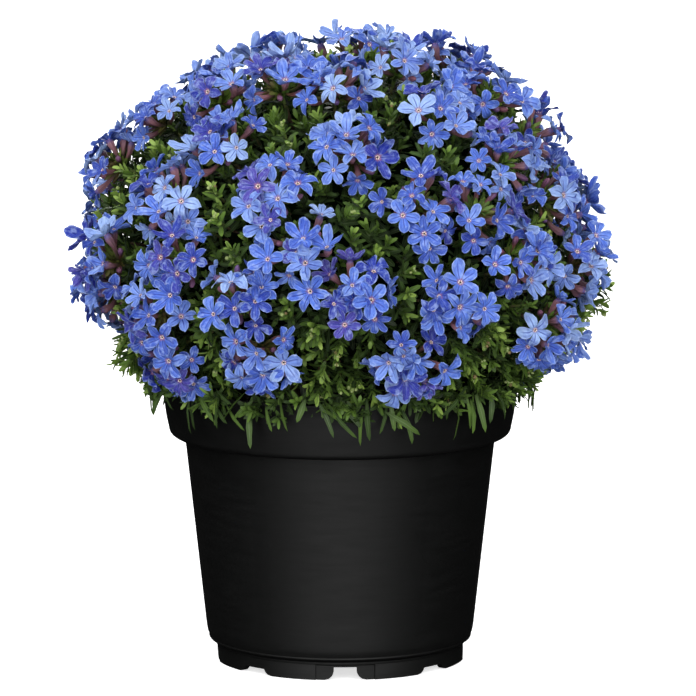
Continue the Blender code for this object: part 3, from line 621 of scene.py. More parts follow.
def petal_material(s):
    """Blue limb: deeper to paler by flower, dark middle crease, fine streaks, pale rim, whitish glints that
    are painted highlights, and a pink throat.
    """
    m = Shader("petal_blue", Roughness=0.5, Specular_IOR_Level=0.25)
    across, along, _ = m.place()
    tone = m.tone()
    streaks = m.noise(2.2, 3.0, m.stretched(m.uv(), (9.0, 1.6, 1.0)), 0.6)
    wander = m.plus(m.times(streaks, 11.0), m.times(along, 3.0))
    bands = m.math("SINE", m.plus(m.times(across, 7.5), wander))
    # Painted highlight: small whitish glints laid over the blue, which also roughen the bump.
    glints = m.noise(430.0, 2.0)
    colour = m.over(
        m.ramp(tone, ((0.0, s.violet), (0.28, s.deep_blue), (0.62, s.mid_blue), (1.0, s.pale_blue))),
        (m.step(0.5, 0.75, streaks), 0.45, s.petal_rim),
        (m.step(0.5, 0.25, streaks), 0.45, s.deep_blue),
        (m.step(0.1, 1.0, bands), 0.13, s.petal_rim),
        (m.step(-0.1, -1.0, bands), 0.12, s.deep_blue),
        (m.step(0.45, 0.75, m.noise(240.0, 2.0)), 0.45, s.deep_blue),
        (m.step(0.5, 0.72, glints), 0.4, s.petal_rim),
    )
    crease = m.times(m.fall(0.03, 0.2, across), m.fall(0.45, 0.95, along), 0.7)
    edge = m.math("MAXIMUM", m.step(0.72, 1.0, across), m.step(0.9, 1.0, along))
    edge = m.times(edge, m.step(0.35, 0.65, along), m.step(0.2, 0.75, streaks))
    edge = m.math("MULTIPLY", edge, m.plus(m.times(tone, 0.6), 0.45), clamp=True)
    colour = m.mix(edge, m.mix(crease, colour, s.deep_blue), s.petal_rim)
    blush = m.plus(0.1, m.times(m.step(0.42, 0.6, m.noise(75.0, 0.0)), 0.6))
    colour = m.over(colour, (m.fall(0.11, 0.22, along), blush, s.throat_pink))
    relief = m.plus(m.math("SUBTRACT", streaks, crease), m.times(bands, 0.15))
    return m.finish(colour, m.plus(relief, m.times(glints, 1.5)), 0.7, 0.0004)


def tube_material(s):
    """Flower tubes: green at the foot, red brown and mauve up to the limb, a pale ring, and a nearly black
    throat that is painted shade in the hole.
    """
    m = Shader("flower_tube", Roughness=0.55)
    _, along, across = m.place()
    spots = m.step(-0.1, 0.5, m.math("SINE", m.times(across, 5 * math.tau)))
    ring = m.times(m.step(0.82, 0.88, along), m.fall(0.93, 0.96, along))
    patches = m.noise(2.0, 3.0, m.stretched(m.uv(), (11.0, 3.0, 1.0)))
    below = m.fall(0.62, 0.78, along)
    rose = m.times(m.step(0.45, 0.62, m.noise(60.0, 0.0)), below, m.step(0.25, 0.5, along))
    colour = m.over(
        m.ramp(along, (
            (0.0, (0.10, 0.16, 0.03)), (0.3, (0.09, 0.06, 0.025)), (0.46, s.tube_red),
            (0.62, (0.235, 0.105, 0.15)), (0.74, (0.09, 0.1, 0.4)), (0.84, s.throat_pink),
            (0.9, (0.42, 0.17, 0.16)), (0.96, (0.05, 0.02, 0.03)), (1.0, (0.01, 0.008, 0.012)),
        # The last two stops paint the throat nearly black: painted shade down the tube's hole.
        )),
        (ring, spots, (0.95, 0.9, 0.8)),
        (m.times(m.step(0.4, 0.7, patches), below), 0.7, (0.05, 0.025, 0.02)),
        (m.times(m.step(0.5, 0.3, patches), below), 0.35, (0.3, 0.22, 0.2)),
        (rose, 0.6, s.tube_rose),
        (m.tone(), 0.06, (0.5, 0.35, 0.5)),
    )
    return m.finish(colour, patches, 0.3, 0.0003)


def bud_material(s):
    """Closed buds: green foot, then red brown to violet pink with darker spiral folds."""
    m = Shader("flower_bud", Roughness=0.5)
    _, along, across = m.place()
    colour = m.ramp(along, ((0.0, (0.09, 0.15, 0.03)), (0.35, (0.22, 0.10, 0.06)), (0.6, s.tube_red)))
    colour = m.mix(m.step(0.45, 0.75, along), colour, m.mix(m.tone(), s.bud_pink, (0.1, 0.085, 0.32)))
    folds = m.step(0.3, 1.0, m.math("SINE", m.plus(m.times(across, 5 * math.tau), m.times(along, 12.0))))
    return m.finish(m.over(colour, (folds, 0.45, (0.08, 0.03, 0.07))), folds, 0.4, 0.0004)


def leaf_material(s, name="leaf_green", stain=0.0):
    """Leaves: from painted shade through dark old ones to lime young ones by tone, with a pale midrib,
    patches, fine hairs, and painted shade darkening each leaf towards its foot.

    Sepals are stained red brown in places.
    """
    m = Shader(name, Roughness=0.5, Specular_IOR_Level=0.3)
    across, along, _ = m.place()
    tone = m.plus(m.tone(), m.times(m.math("SUBTRACT", m.noise(160.0, 3.0), 0.5), 0.35))
    colour = m.over(
        m.ramp(tone, ((0.0, s.leaf_shade), (0.35, s.leaf_old), (0.7, s.leaf_mid), (1.0, s.leaf_young))),
        (m.times(m.fall(0.04, 0.22, across), m.fall(0.6, 0.95, along)), 0.3, s.leaf_rib),
        (m.step(0.8, 1.0, across), 0.22, s.leaf_rib),
        # Painted shade: each leaf darkens towards its foot, where it meets the shoot.
        (m.fall(0.0, 0.3, along), 0.4, s.leaf_shade),
    )
    if stain:
        colour = m.over(colour, (m.step(0.4, 0.6, m.noise(70.0, 0.0)), stain, (0.13, 0.045, 0.035)))
    return m.finish(colour, m.noise(1800.0, 2.0), 0.25, 0.0002)


def small_bud_material(s):
    """Small round buds: green at the foot, cream to lime on top, a few touched with red brown."""
    m = Shader("small_bud", Roughness=0.55)
    top = m.mix(m.step(0.75, 0.9, m.tone()), s.bud_cream, (0.2, 0.09, 0.06))
    patches = m.noise(700.0, 2.0)
    colour = m.mix(m.step(0.1, 0.6, m.place()[1]), s.leaf_mid, top)
    return m.finish(m.over(colour, (patches, 0.4, s.leaf_young)), patches, 0.4, 0.0003)


def twig_material(s):
    """Woody twigs: brown bark with lighter streaks, greener towards their young ends."""
    m = Shader("twig_bark", Roughness=0.75)
    grain = m.noise(500.0, 4.0)
    bark = m.mix(grain, (0.05, 0.03, 0.018), (0.16, 0.1, 0.06))
    return m.finish(m.mix(m.step(0.5, 1.0, m.place()[1]), bark, s.leaf_mid), grain, 0.5, 0.0004)


def shade_material(s):
    """The shaded inside of the bush: nearly black greens in small leaf sized patches."""
    m = Shader("shaded_leaves", Roughness=0.85, Specular_IOR_Level=0.0)
    patches = m.noise(260.0, 4.0)
    colour = m.ramp(patches, ((0.35, (0.002, 0.004, 0.002)), (0.75, s.leaf_shade)))
    return m.finish(colour, patches, 0.8, 0.002)


def pot_material(s):
    """Black moulded plastic: fine flow marks round the wall, a little dust, satin gloss."""
    m = Shader("nursery_plastic", IOR=1.4)
    objects = m.objects()
    flow = m.noise(6.0, 5.0, m.stretched(objects, (12.0, 12.0, 90.0)), 0.6)
    dust = m.step(0.45, 0.8, m.noise(55.0, 6.0, objects, 0.7))
    rough = m.between(flow, 0.3, 0.7, s.roughness - 0.05, s.roughness + 0.08)
    m.put(m.surface.inputs["Roughness"], rough)
    grain = m.plus(flow, m.times(m.noise(900.0, 2.0, objects), 0.4))
    return m.finish(m.over(s.plastic, (dust, 0.35, s.dust)), grain, 0.03, 0.0004)


def soil_material(s):
    """Peat: dark brown crumbs with a few pale grains."""
    m = Shader("potting_peat", Roughness=0.95)
    crumbs = m.noise(300.0, 6.0, None, 0.7)
    colour = m.ramp(crumbs, ((0.3, (0.008, 0.005, 0.003)), (0.6, s.peat), (0.85, (0.12, 0.08, 0.05))))
    grains = m.node("ShaderNodeTexVoronoi", {"Scale": 260.0}).outputs["Distance"]
    return m.finish(m.mix(m.fall(0.06, 0.12, grains), colour, (0.4, 0.38, 0.33)), crumbs, 0.9, 0.002)


def floor_material(s):
    """Pale studio floor with the faintest mottling."""
    m = Shader("studio_floor", Roughness=0.8, Emission_Color=WHITE, Emission_Strength=0.68)
    high = [min(1.0, c * 1.02) for c in s.floor_colour]
    return m.finish(m.mix(m.noise(2.0, 3.0), s.floor_colour, high))


def merged_mesh(node):
    """Points and triangles of a node's mesh, with the points that lie on each other made one."""
    mesh = node.data
    points = np.empty(len(mesh.vertices) * 3, np.float32)
    mesh.vertices.foreach_get("co", points)
    corners = np.empty(len(mesh.loops), np.int32)
    mesh.loops.foreach_get("vertex_index", corners)
    grid = np.round(points.reshape(-1, 3).astype(float) / (0.001 * MM)).astype(np.int64)
    places, index = np.unique(grid, axis=0, return_inverse=True)
    return places * 0.001 * MM, index.reshape(-1)[corners].reshape(-1, 3)


def read_flowers(node):
    """Flowers of a solid cluster. A flower's heart is a point with ten triangles, whose other corners are
    in turn near and far: the far ones are the tips of its lobes. What is left over is the hub."""
    points, triangles = merged_mesh(node)
    used = np.bincount(triangles.ravel(), minlength=len(points))
    taken = np.zeros(len(points), bool)
    rims = np.zeros(len(points), bool)
    found = []
    for heart in np.flatnonzero(used == 10):
        fan = triangles[(triangles == heart).any(axis=1)]
        rim = np.setdiff1d(fan, heart)
        away = np.linalg.norm(points[rim] - points[heart], axis=1)
        order = np.argsort(away)
        near, far = away[order[:5]], away[order[5:]]
        if len(rim) != 10 or far.min() < 1.3 * near.max():
            continue
        tips = points[rim[order[5:]]]
        centre = tips.mean(axis=0)
        corners = points[fan]
        axis = np.cross(corners[:, 1] - corners[:, 0], corners[:, 2] - corners[:, 0]).sum(axis=0)
        found.append((centre, unit(axis), tips[0], np.linalg.norm(tips - centre, axis=1).mean()))
        taken[heart] = taken[rim] = rims[rim] = True
    taken[triangles[rims[triangles].any(axis=1)].ravel()] = True
    centre, axis, tip, radius = (np.array(values) for values in zip(*found))
    first, _ = square_to(axis, tip - centre)
    return Flowers(centre, axis, first, radius, np.tile(points[~taken].mean(axis=0), (len(found), 1)))


def gathered(flowers):
    """A cluster's flowers drawn in towards the cluster's own axis like a posy: they overlap, and the outer
    ones stand lower, by the square of their way out, and lean outwards in proportion to it."""
    hub = flowers.hub[0]
    axis = unit(flowers.centre.mean(axis=0) - hub)
    way = flowers.centre - hub
    rise = (way @ axis)[:, None]
    out = way - rise * axis
    away = np.linalg.norm(out, axis=1, keepdims=True) / CLUSTER_RADIUS
    centre = hub + (rise - CLUSTER_DROP * away**2) * axis + CLUSTER_WIDTH * out
    looks = unit(flowers.axis + CLUSTER_LEAN * out / CLUSTER_RADIUS)
    first, _ = square_to(looks, flowers.first)
    middle = centre.mean(axis=0)
    shift = (outline_share(middle) - 1) * (middle - DOME_CENTRE)
    centre, hub = centre + shift, flowers.hub + shift
    furthest = FURTHEST * np.maximum(1.0, outline_share(centre))
    centre = DOME_CENTRE + np.minimum(1.0, furthest / dome_share(centre))[:, None] * (centre - DOME_CENTRE)
    return flowers._replace(centre=centre, axis=looks, first=first, hub=hub)


def filling_flowers(flowers, crowd, count, kind, rng):
    """More flowers on a cluster's hub, each furthest from all others, a little deeper and smaller."""
    depth, size, room = kind
    hub = flowers.hub[0]
    out = unit(hub - DOME_CENTRE)
    normal = dome_normals(hub[None])[0]
    first, second = square_to(normal, any_square(normal))
    k = np.arange(60)
    tilt = math.radians(82) * np.sqrt((k + 0.5) / len(k))
    turn = GOLDEN_ANGLE * k
    ways = (
        np.cos(tilt)[:, None] * normal
        + (np.sin(tilt) * np.cos(turn))[:, None] * first
        + (np.sin(tilt) * np.sin(turn))[:, None] * second
    )
    spots = hub + rng.uniform(*depth, (len(k), 1)) * ways
    inside = dome_share(spots) < 0.955
    spots, ways = spots[inside], ways[inside]
    made = []
    for _ in range(count):
        gaps = np.linalg.norm(spots[:, None] - crowd[None], axis=-1).min(axis=1)
        best = int(np.argmax(gaps))
        if gaps[best] < room:
            break
        made.append(best)
        crowd = np.concatenate([crowd, spots[best : best + 1]])
    if not made:
        return None, crowd
    axis = unit(0.9 * ways[made] + 0.3 * out + rng.uniform(-0.35, 0.35, (len(made), 3)))
    radius = rng.uniform(*size, len(made))
    return Flowers(spots[made], axis, any_square(axis), radius, np.tile(hub, (len(made), 1))), crowd


def lower_flowers(flowers, count, rng):
    """Flowers half hidden under others: beside one of them by most of its radius, and a little deeper."""
    above = rng.integers(0, len(flowers.radius), count)
    turn = rng.uniform(0.0, math.tau, count)
    axis, first = flowers.axis[above], flowers.first[above]
    side = round_ways(turn, first, np.cross(axis, first))
    radius = flowers.radius[above] * rng.uniform(0.85, 1.0, count)
    centre = flowers.centre[above] + radius[:, None] * rng.uniform(0.75, 1.1, (count, 1)) * side
    centre = centre - rng.uniform(2.0, 3.6, (count, 1)) * MM * axis
    looks = unit(axis + 0.35 * side + rng.normal(0.0, 0.15, (count, 3)))
    made = Flowers(centre, looks, any_square(looks), radius, flowers.hub[above])
    return chosen(made, dome_share(centre) < FURTHEST)


def clusters(s):
    """Each solid cluster's name, its flowers with small ones in the gaps, its half hidden ones and buds."""
    rng = np.random.default_rng(5)
    names = sorted(name for name in NODES if name.startswith("flowers_"))
    found = [gathered(read_flowers(NODES[name])) for name in names]
    crowd = np.concatenate([flowers.centre for flowers in found])
    made = []
    for name, flowers in zip(names, found):
        count = len(flowers.radius)
        axis = unit(flowers.axis + rng.normal(0.0, 0.22, (count, 3)))
        first, _ = square_to(axis, flowers.first)
        radius = flowers.radius * s.size * rng.uniform(0.86, 1.04, count)
        upper = flowers._replace(radius=radius, axis=axis, first=first)
        extra, crowd = filling_flowers(upper, crowd, s.extra, SMALL_FLOWERS, rng)
        buds, crowd = filling_flowers(upper, crowd, s.buds, CLOSED_BUDS, rng)
        lower = lower_flowers(upper, s.lower, rng)
        made.append((name, joined_flowers([upper, extra]) if extra else upper, lower, buds))
    return made


def sepals(flowers, rng):
    """Five narrow bracts round the foot of each tube, from the hub to about half way up."""
    count = len(flowers.radius)
    hub = flowers.hub[:, None]
    way = flowers.centre[:, None] - hub
    length = np.linalg.norm(way, axis=-1, keepdims=True)
    axis = way / length
    angle = math.tau * (np.arange(SEPALS) / SEPALS) + rng.uniform(0, math.tau, (count, 1))
    spoke = round_ways(angle, *square_to(axis, any_square(axis)))
    reach = 0.56 * length * rng.uniform(0.85, 1.15, (count, SEPALS, 1))
    base = hub + 0.1 * length * axis + 0.6 * MM * spoke
    tip = hub + reach * axis + rng.uniform(1.3, 3.2, (count, SEPALS, 1)) * MM * spoke
    tone = rng.uniform(0.45, 1.0, count * SEPALS)
    return blades(base, tip, -spoke, np.full_like(tone, 1.7 * MM), np.full_like(tone, -0.1), tone, SEPAL)


def shoot_leaves(shoots, count, low, high, rng):
    """Leaves in a golden spiral up the end of each shoot: long, spread, older and darker below, short and
    young above. The darkening below is partly painted shade inside the bush.

    low and high are (leaf length, width, angle from the shoot in degrees) at the foot and at the tip.
    """
    shape = (len(shoots.tip), count)
    axis = shoots.axis[:, None]
    rise = (np.arange(count) + 0.5) / count
    turn = GOLDEN_ANGLE * np.arange(count) + rng.uniform(0, math.tau, (shape[0], 1))
    turn = turn + rng.normal(0.0, 0.25, shape)
    spoke = round_ways(turn, *square_to(axis, any_square(axis)))
    size, width, angle = [(1 - rise) * a + rise * b for a, b in zip(low, high)]
    size = size * rng.uniform(0.78, 1.18, shape)
    width = width * rng.uniform(0.85, 1.15, shape)
    angle = np.radians(angle + rng.normal(0.0, 9.0, shape))
    upper = np.sin(angle)[..., None] * axis - np.cos(angle)[..., None] * spoke
    base = shoots.tip[:, None] - ((1 - rise) * shoots.length[:, None])[..., None] * axis
    end = base + size[..., None] * round_ways(angle, axis, spoke)
    # Leaves low on a shoot get a much lower tone: partly older leaves, partly painted shade inside the bush.
    tone = shoots.tone[:, None] * (0.16 + 0.84 * rise**1.3) + rng.normal(0.0, 0.06, shape)
    bend = rng.uniform(-0.02, 0.12, shape)
    return blades(base, end, upper, width, bend, np.clip(tone, 0.0, 1.0))


def small_buds(shoots, rng):
    """Groups of three round buds, each a small turned bead, round the tips of shoots."""
    tip, axis = np.repeat(shoots.tip, 3, axis=0), np.repeat(shoots.axis, 3, axis=0)
    count = len(tip)
    way = unit(axis + rng.normal(0.0, 0.55, (count, 3)))
    radius = rng.uniform(0.45, 0.85, count) * MM
    start = tip + rng.uniform(-0.5, 1.5, (count, 1)) * MM * way
    end = start + 2.4 * radius[:, None] * way
    rows = np.array((0.2, 0.55, 0.88))
    t = rows[None, :, None]
    centres = (1 - t) * start[:, None] + t * end[:, None]
    first, second = square_to(way[:, None], any_square(way)[:, None])
    sections = circles(radius[:, None] * np.array((0.75, 1.0, 0.6)), 5)
    tone = rng.uniform(0.0, 1.0, count)
    return closed_tubes(centres, first, second, sections, start, end, rows, tone, BEAD)


def in_wedge(points, number):
    """Which points lie in the wedge of the leafy stem with this number, from 1, seen from above."""
    turn = np.arctan2(points[:, 1], points[:, 0]) % math.tau
    return 1 + (turn / (math.tau / STEMS)).astype(int) % STEMS == number


def plain_surface(start, grid, end):
    """Closed surface of rings of points between a start and an end."""
    points = np.concatenate([start, grid.reshape(-1, 3), end])
    count = len(points)
    return Surface(points, tube_faces(*grid.shape[:2]), np.full((count, 2), 0.5), np.zeros(count), 0)


def lumpy_core(share):
    """The bush's dark inside: the dome scaled down with lumps, a product of sines, closed at its poles."""
    rise = np.radians(np.linspace(86.0, -74.0, 40))
    rise, turn = np.meshgrid(rise, math.tau * np.arange(72) / 72, indexing="ij")
    ways = np.stack([np.cos(rise) * np.cos(turn), np.cos(rise) * np.sin(turn), np.sin(rise)], axis=-1)
    lumps = np.sin(11 * turn + 3 * np.sin(5 * rise)) * np.sin(9 * rise + 2 * np.sin(3 * turn))
    grid = on_dome(ways, share + 0.03 * lumps)[::-1]
    return plain_surface(on_dome(-UP[None], share), grid, on_dome(UP[None], share))


def turned_surface(profile, angles, low_end, high_end):
    """Closed surface of a profile of (radius, height) rows, each a number or one for every angle, carried
    round the axis. It starts at low_end and ends at high_end, two heights on the axis."""
    rows = []
    for radius, height in profile:
        height = np.broadcast_to(height, angles.shape)
        rows.append(np.stack([radius * np.cos(angles), radius * np.sin(angles), height], axis=-1))
    return plain_surface(low_end * UP[None], np.array(rows), high_end * UP[None])


def rounded(corner_in, corner, corner_out, radius, steps):
    """Points of an arc that replaces the corner between two neighbouring points of a profile."""
    a, b, c = (np.array(p, float) for p in (corner_in, corner, corner_out))
    before, after = unit(a - b), unit(c - b)
    half = math.acos(float(np.clip(before @ after, -1, 1))) / 2
    reach = radius / math.tan(half)
    t = np.linspace(0, 1, steps + 1)[:, None]
    return list(parabola(t, b + reach * before, b, b + reach * after)[0])


def on_line(start, end, shares):
    """Points of a profile at these shares of the way from one point to another."""
    return [(start[0] + t * (end[0] - start[0]), start[1] + t * (end[1] - start[1])) for t in shares]


def foot_angles(marks, steps):
    """Angles round the foot: the same marks either side of each notch, with even steps between them."""
    sector = math.pi / NOTCHES
    ends = [0.0, *marks, sector]
    half = []
    for a, b in zip(ends, ends[1:]):
        count = max(1, math.ceil((b - a) / steps))
        half.extend(a + (b - a) * np.arange(count) / count)
    half = np.array(half)
    whole = np.concatenate([-half[:0:-1], half, [sector]])
    return np.concatenate([FIRST_NOTCH + math.tau * k / NOTCHES + whole for k in range(NOTCHES)])


def length_property(name, description, millimetres):
    return bpy.props.FloatProperty(
        name=name, description=description, default=millimetres * MM, min=0.0, unit="LENGTH", precision=4,
    )


def colour_property(name, description, colour):
    return bpy.props.FloatVectorProperty(
        name=name, description=description, default=colour, size=3, min=0.0, max=1.0, subtype="COLOR",
    )


def share_property(name, description, default, least=0.0):
    return bpy.props.FloatProperty(
        name=name, description=description, default=default, min=least, max=1.0, subtype="FACTOR",
    )


def count_property(name, description, default, least=1):
    return bpy.props.IntProperty(name=name, description=description, default=default, min=least)


def power_property(name, description, default):
    return bpy.props.FloatProperty(name=name, description=description, default=default, min=0.0)


class PotSettings(bpy.types.PropertyGroup):
    """Sizes and finish of the nursery pot and its soil."""

    rim_radius: length_property("Rim radius", "Radius of the rim", 65.4)
    rim_height: length_property("Rim height", "Height of the rim above the table", 103.5)
    wall: length_property("Wall", "Thickness of the wall", 1.4)
    collar_radius: length_property("Collar radius", "Radius of the collar at its lower edge", 62.3)
    collar_bottom: length_property("Collar bottom", "Height of the collar's lower edge", 83.0)
    collar_rounding: length_property("Collar rounding", "Radius of the collar's lower edge", 2.6)
    body_top_radius: length_property("Body top", "Radius of the body under the collar", 56.7)
    body_low_radius: length_property("Body bottom", "Radius of the body above the foot", 48.6)
    body_bottom: length_property("Body height", "Height at which the body starts", 9.8)
    foot_radius: length_property("Foot radius", "Radius of the foot ring", 45.7)
    foot_width: length_property("Foot width", "Thickness of the foot ring", 2.0)
    floor_bottom: length_property("Floor", "Height of the floor's underside", 5.8)
    soil_top: length_property("Soil height", "Height of the soil's surface at the wall", 91.5)
    plastic: colour_property("Plastic", "Colour of the pot", (0.0024, 0.0026, 0.0025))
    dust: colour_property("Dust", "Colour of the dust on the pot", (0.0052, 0.0057, 0.0054))
    peat: colour_property("Peat", "Colour of the soil", (0.03, 0.019, 0.012))
    roughness: share_property("Roughness", "Roughness of the plastic", 0.55)


class FoliageSettings(bpy.types.PropertyGroup):
    """Number, sizes and colours of the leaves."""

    shoots: count_property("Shoots", "Number of leafy shoot tips", 1480)
    shoot_leaves: count_property("Leaves", "Leaves on a shoot tip", 14)
    hidden_leaves: count_property("Hidden leaves", "Leaves on a shoot tip under flowers", 9)
    rim_shoots: count_property("Rim shoots", "Short shoots over the rim", 96)
    hanging: count_property("Hanging leaves", "Leaves that hang over the rim", 110)
    young_length: length_property("Young leaf", "Length of the leaves at a shoot's tip", 3.6)
    old_length: length_property("Old leaf", "Length of the leaves lower down a shoot", 8.5)
    leaf_width: length_property("Leaf width", "Width of an old leaf", 2.3)
    leaf_young: colour_property("Young leaf", "Colour of the youngest leaves", (0.27, 0.4, 0.075))
    leaf_mid: colour_property("Leaf", "Colour of the grown leaves", (0.108, 0.2, 0.026))
    leaf_old: colour_property("Old leaf", "Colour of the old leaves", (0.036, 0.073, 0.014))
    leaf_shade: colour_property("Shaded leaf", "Colour of leaves in the shade", (0.006, 0.013, 0.004))
    bud_cream: colour_property("Small bud", "Colour of the small round buds", (0.32, 0.38, 0.15))
    leaf_rib: colour_property("Midrib", "Colour of the midrib and the hairy edge", (0.22, 0.28, 0.15))


class BloomSettings(bpy.types.PropertyGroup):
    """Sizes and colours of the flowers."""

    size: share_property("Size", "Size of the flowers, as a share of the solid ones", 0.89, 0.1)
    extra: count_property("Extra flowers", "Most small flowers added per cluster", 3, 0)
    lower: count_property("Lower flowers", "Flowers half hidden in a cluster", 2, 0)
    buds: count_property("Buds", "Most buds per cluster", 4, 0)
    violet: colour_property("Violet", "Colour of the oldest flowers", (0.09, 0.062, 0.42))
    deep_blue: colour_property("Deep blue", "Colour of the darkest flowers and creases", (0.01, 0.027, 0.36))
    mid_blue: colour_property("Blue", "Colour of most flowers", (0.09, 0.198, 0.765))
    pale_blue: colour_property("Pale blue", "Colour of the palest flowers", (0.37, 0.54, 0.93))
    petal_rim: colour_property("Petal rim", "Colour of the thin rim of a petal", (0.5, 0.64, 0.97))
    throat_pink: colour_property("Throat", "Colour of the halo round the throat", (0.45, 0.2, 0.27))
    tube_red: colour_property("Tube", "Colour of the flower's tube", (0.17, 0.052, 0.06))
    tube_rose: colour_property("Rose tube", "Colour of the rosier tubes", (0.32, 0.135, 0.155))
    bud_pink: colour_property("Bud", "Colour of a closed bud", (0.3, 0.11, 0.14))


class StageSettings(bpy.types.PropertyGroup):
    """Floor and lights of the studio."""

    floor_colour: colour_property("Floor", "Colour of the studio floor", (0.9, 0.9, 0.9))
    daylight: power_property("Daylight", "Strength of the white surroundings", 0.4)
    key_power: power_property("Key light", "Strength of the front light", 3.2)
    fill_power: power_property("Fill light", "Strength of the top light", 0.8)
    back_power: power_property("Back light", "Strength of the rear light", 1.8)


class PlantSettings(bpy.types.PropertyGroup):
    """All the settings of the potted plant."""

    pot: bpy.props.PointerProperty(type=PotSettings, name="Pot", description="Pot and soil")
    foliage: bpy.props.PointerProperty(type=FoliageSettings, name="Foliage", description="Leaves and twigs")
    blooms: bpy.props.PointerProperty(type=BloomSettings, name="Blooms", description="Flowers and buds")
    stage: bpy.props.PointerProperty(type=StageSettings, name="Stage", description="Studio")


def plant(context):
    return context.scene.lithodora


def pot_profile(s, angles):
    """Profile of the pot from the floor's underside out over the foot, up the wall and down inside.

    The foot's lower edge rises over each notch in a tapered step. Every other notch is deep, with a panel
    round it that is set back, and the ones between are shallow.
    """
    place = (angles - FIRST_NOTCH) / (math.tau / NOTCHES)
    deep = np.round(place).astype(int) % 2 == 0
    away = np.abs(place - np.round(place)) * math.tau / NOTCHES
    narrow, wide = NOTCH_TOP / s.foot_radius, NOTCH_FOOT / s.foot_radius
    corner = wide - narrow
    beside = np.clip(wide - away, 0.0, corner)
    arc = (corner - np.sqrt(corner**2 - beside**2)) * s.foot_radius
    edge = np.minimum(np.where(away < narrow, DEEP_NOTCH, arc), np.where(deep, DEEP_NOTCH, SHALLOW_NOTCH))
    foot = s.foot_radius - PANEL_DEPTH * (deep & (away < PANEL_WIDTH / s.foot_radius))
    inner_foot = s.foot_radius - s.foot_width
    panel = np.maximum(edge, PANEL_TOP)
    sole = [(inner_foot, s.floor_bottom), (inner_foot, edge), (foot, edge), (foot, panel)]
    wall = [(s.foot_radius + out * MM, up * MM) for out, up in FOOT_OUTLINE]
    wall.append((s.body_low_radius - 0.2 * MM, s.body_bottom))
    wall.append((s.body_low_radius + 0.1 * MM, s.body_bottom + 1.4 * MM))
    under = (s.body_top_radius, s.collar_bottom)
    wall += on_line((s.body_low_radius, s.body_bottom), under, np.linspace(0.04, 0.985, 12))
    wall.append((s.body_top_radius, s.collar_bottom - 0.3 * MM))
    wall.append((s.body_top_radius + 0.3 * MM, s.collar_bottom))
    low = (s.collar_radius, s.collar_bottom)
    above = (s.collar_radius + 0.3 * MM, s.collar_bottom + 6 * MM)
    collar = rounded(under, low, above, s.collar_rounding, 6)
    side = on_line(low, (s.rim_radius, s.rim_height), np.linspace(0.1, 0.95, 5))
    collar += [point for point in side if point[1] > collar[-1][1]]
    out, top, inward = s.rim_radius, s.rim_height, s.rim_radius - s.wall
    rim = rounded((out, top - 3 * MM), (out, top), (inward, top), 0.6 * MM, 3)
    rim += rounded((out, top), (inward, top), (inward, top - 3 * MM), 0.6 * MM, 3)
    ledge = s.collar_bottom + s.wall
    inside = [
        (s.collar_radius - s.wall, s.collar_bottom + s.collar_rounding),
        (s.collar_radius - 2 * s.wall, ledge),
        (s.body_top_radius - s.wall, ledge),
        (s.body_low_radius - s.wall, s.body_bottom),
        (s.foot_radius - s.wall, s.floor_bottom + s.wall),
    ]
    return sole + wall + collar + rim + inside


class LITHODORA_OT_pot(bpy.types.Operator):
    """Build the black nursery pot: rounded collar, tapered body, notched foot and drain holes"""

    bl_idname = "lithodora.pot"
    bl_label = "Nursery pot"

    def execute(self, context):
        s = plant(context).pot
        angles = foot_angles(NOTCH_MARKS / s.foot_radius, math.radians(2.2))
        surface = turned_surface(pot_profile(s, angles), angles, s.floor_bottom, s.floor_bottom + s.wall)
        pot = add_piece("nursery_pot", [surface], [pot_material(s)], ["pot"], 35)
        cut_holes(pot, [self.drain(s, FIRST_NOTCH + math.tau * k / NOTCHES) for k in range(NOTCHES)])
        return {"FINISHED"}

    def drain(self, s, turn):
        """A round upright plug through the floor, where a drain hole is cut."""
        middle = DRAIN_CIRCLE * level_ways(turn)[None]
        low, high = middle + UP * (s.floor_bottom - MM), middle + UP * (s.floor_bottom + s.wall + MM)
        sections = circles(np.full((1, 2), DRAIN_RADIUS), DRAIN_SIDES)
        first, second = np.eye(3)[:2, None, None]
        centres = np.stack([low, high], axis=1)
        return closed_tubes(centres, first, second, sections, low, high, (0.0, 1.0), np.zeros(1), 0)


class LITHODORA_OT_soil(bpy.types.Operator):
    """Build the potting soil that fills the pot, with a crumbly top"""

    bl_idname = "lithodora.soil"
    bl_label = "Potting soil"

    def execute(self, context):
        s = plant(context).pot
        angles = math.tau * np.arange(96) / 96
        share = s.soil_top - s.collar_bottom - s.collar_rounding
        share = share / (s.rim_height - s.collar_bottom - s.collar_rounding)
        edge = s.collar_radius - s.wall + share * (s.rim_radius - s.collar_radius) - SOIL_GAP
        floor, ledge = s.floor_bottom + s.wall + SOIL_GAP, s.collar_bottom + s.wall + SOIL_GAP
        profile = [
            (s.foot_radius - s.wall - SOIL_GAP, floor),
            (s.body_low_radius - s.wall - SOIL_GAP, s.body_bottom),
            (s.body_top_radius - s.wall - SOIL_GAP, ledge),
            (s.collar_radius - 2 * s.wall - 2 * SOIL_GAP, ledge),
            (edge, s.soil_top),
        ]
        for t in np.linspace(0.97, 0.04, 26):
            crumbs = np.sin(31 * t + 7 * np.sin(9 * angles)) * np.sin(23 * angles + 40 * t)
            rise = SOIL_MOUND * (1 - t**3) + 0.5 * crumbs * min(1.0, 12 * (1 - t))
            profile.append((edge * t, s.soil_top + MM * rise))
        surface = turned_surface(profile, angles, floor, s.soil_top + SOIL_MOUND * MM)
        add_piece("potting_soil", [surface], [soil_material(s)], ["soil"], 60)
        return {"FINISHED"}


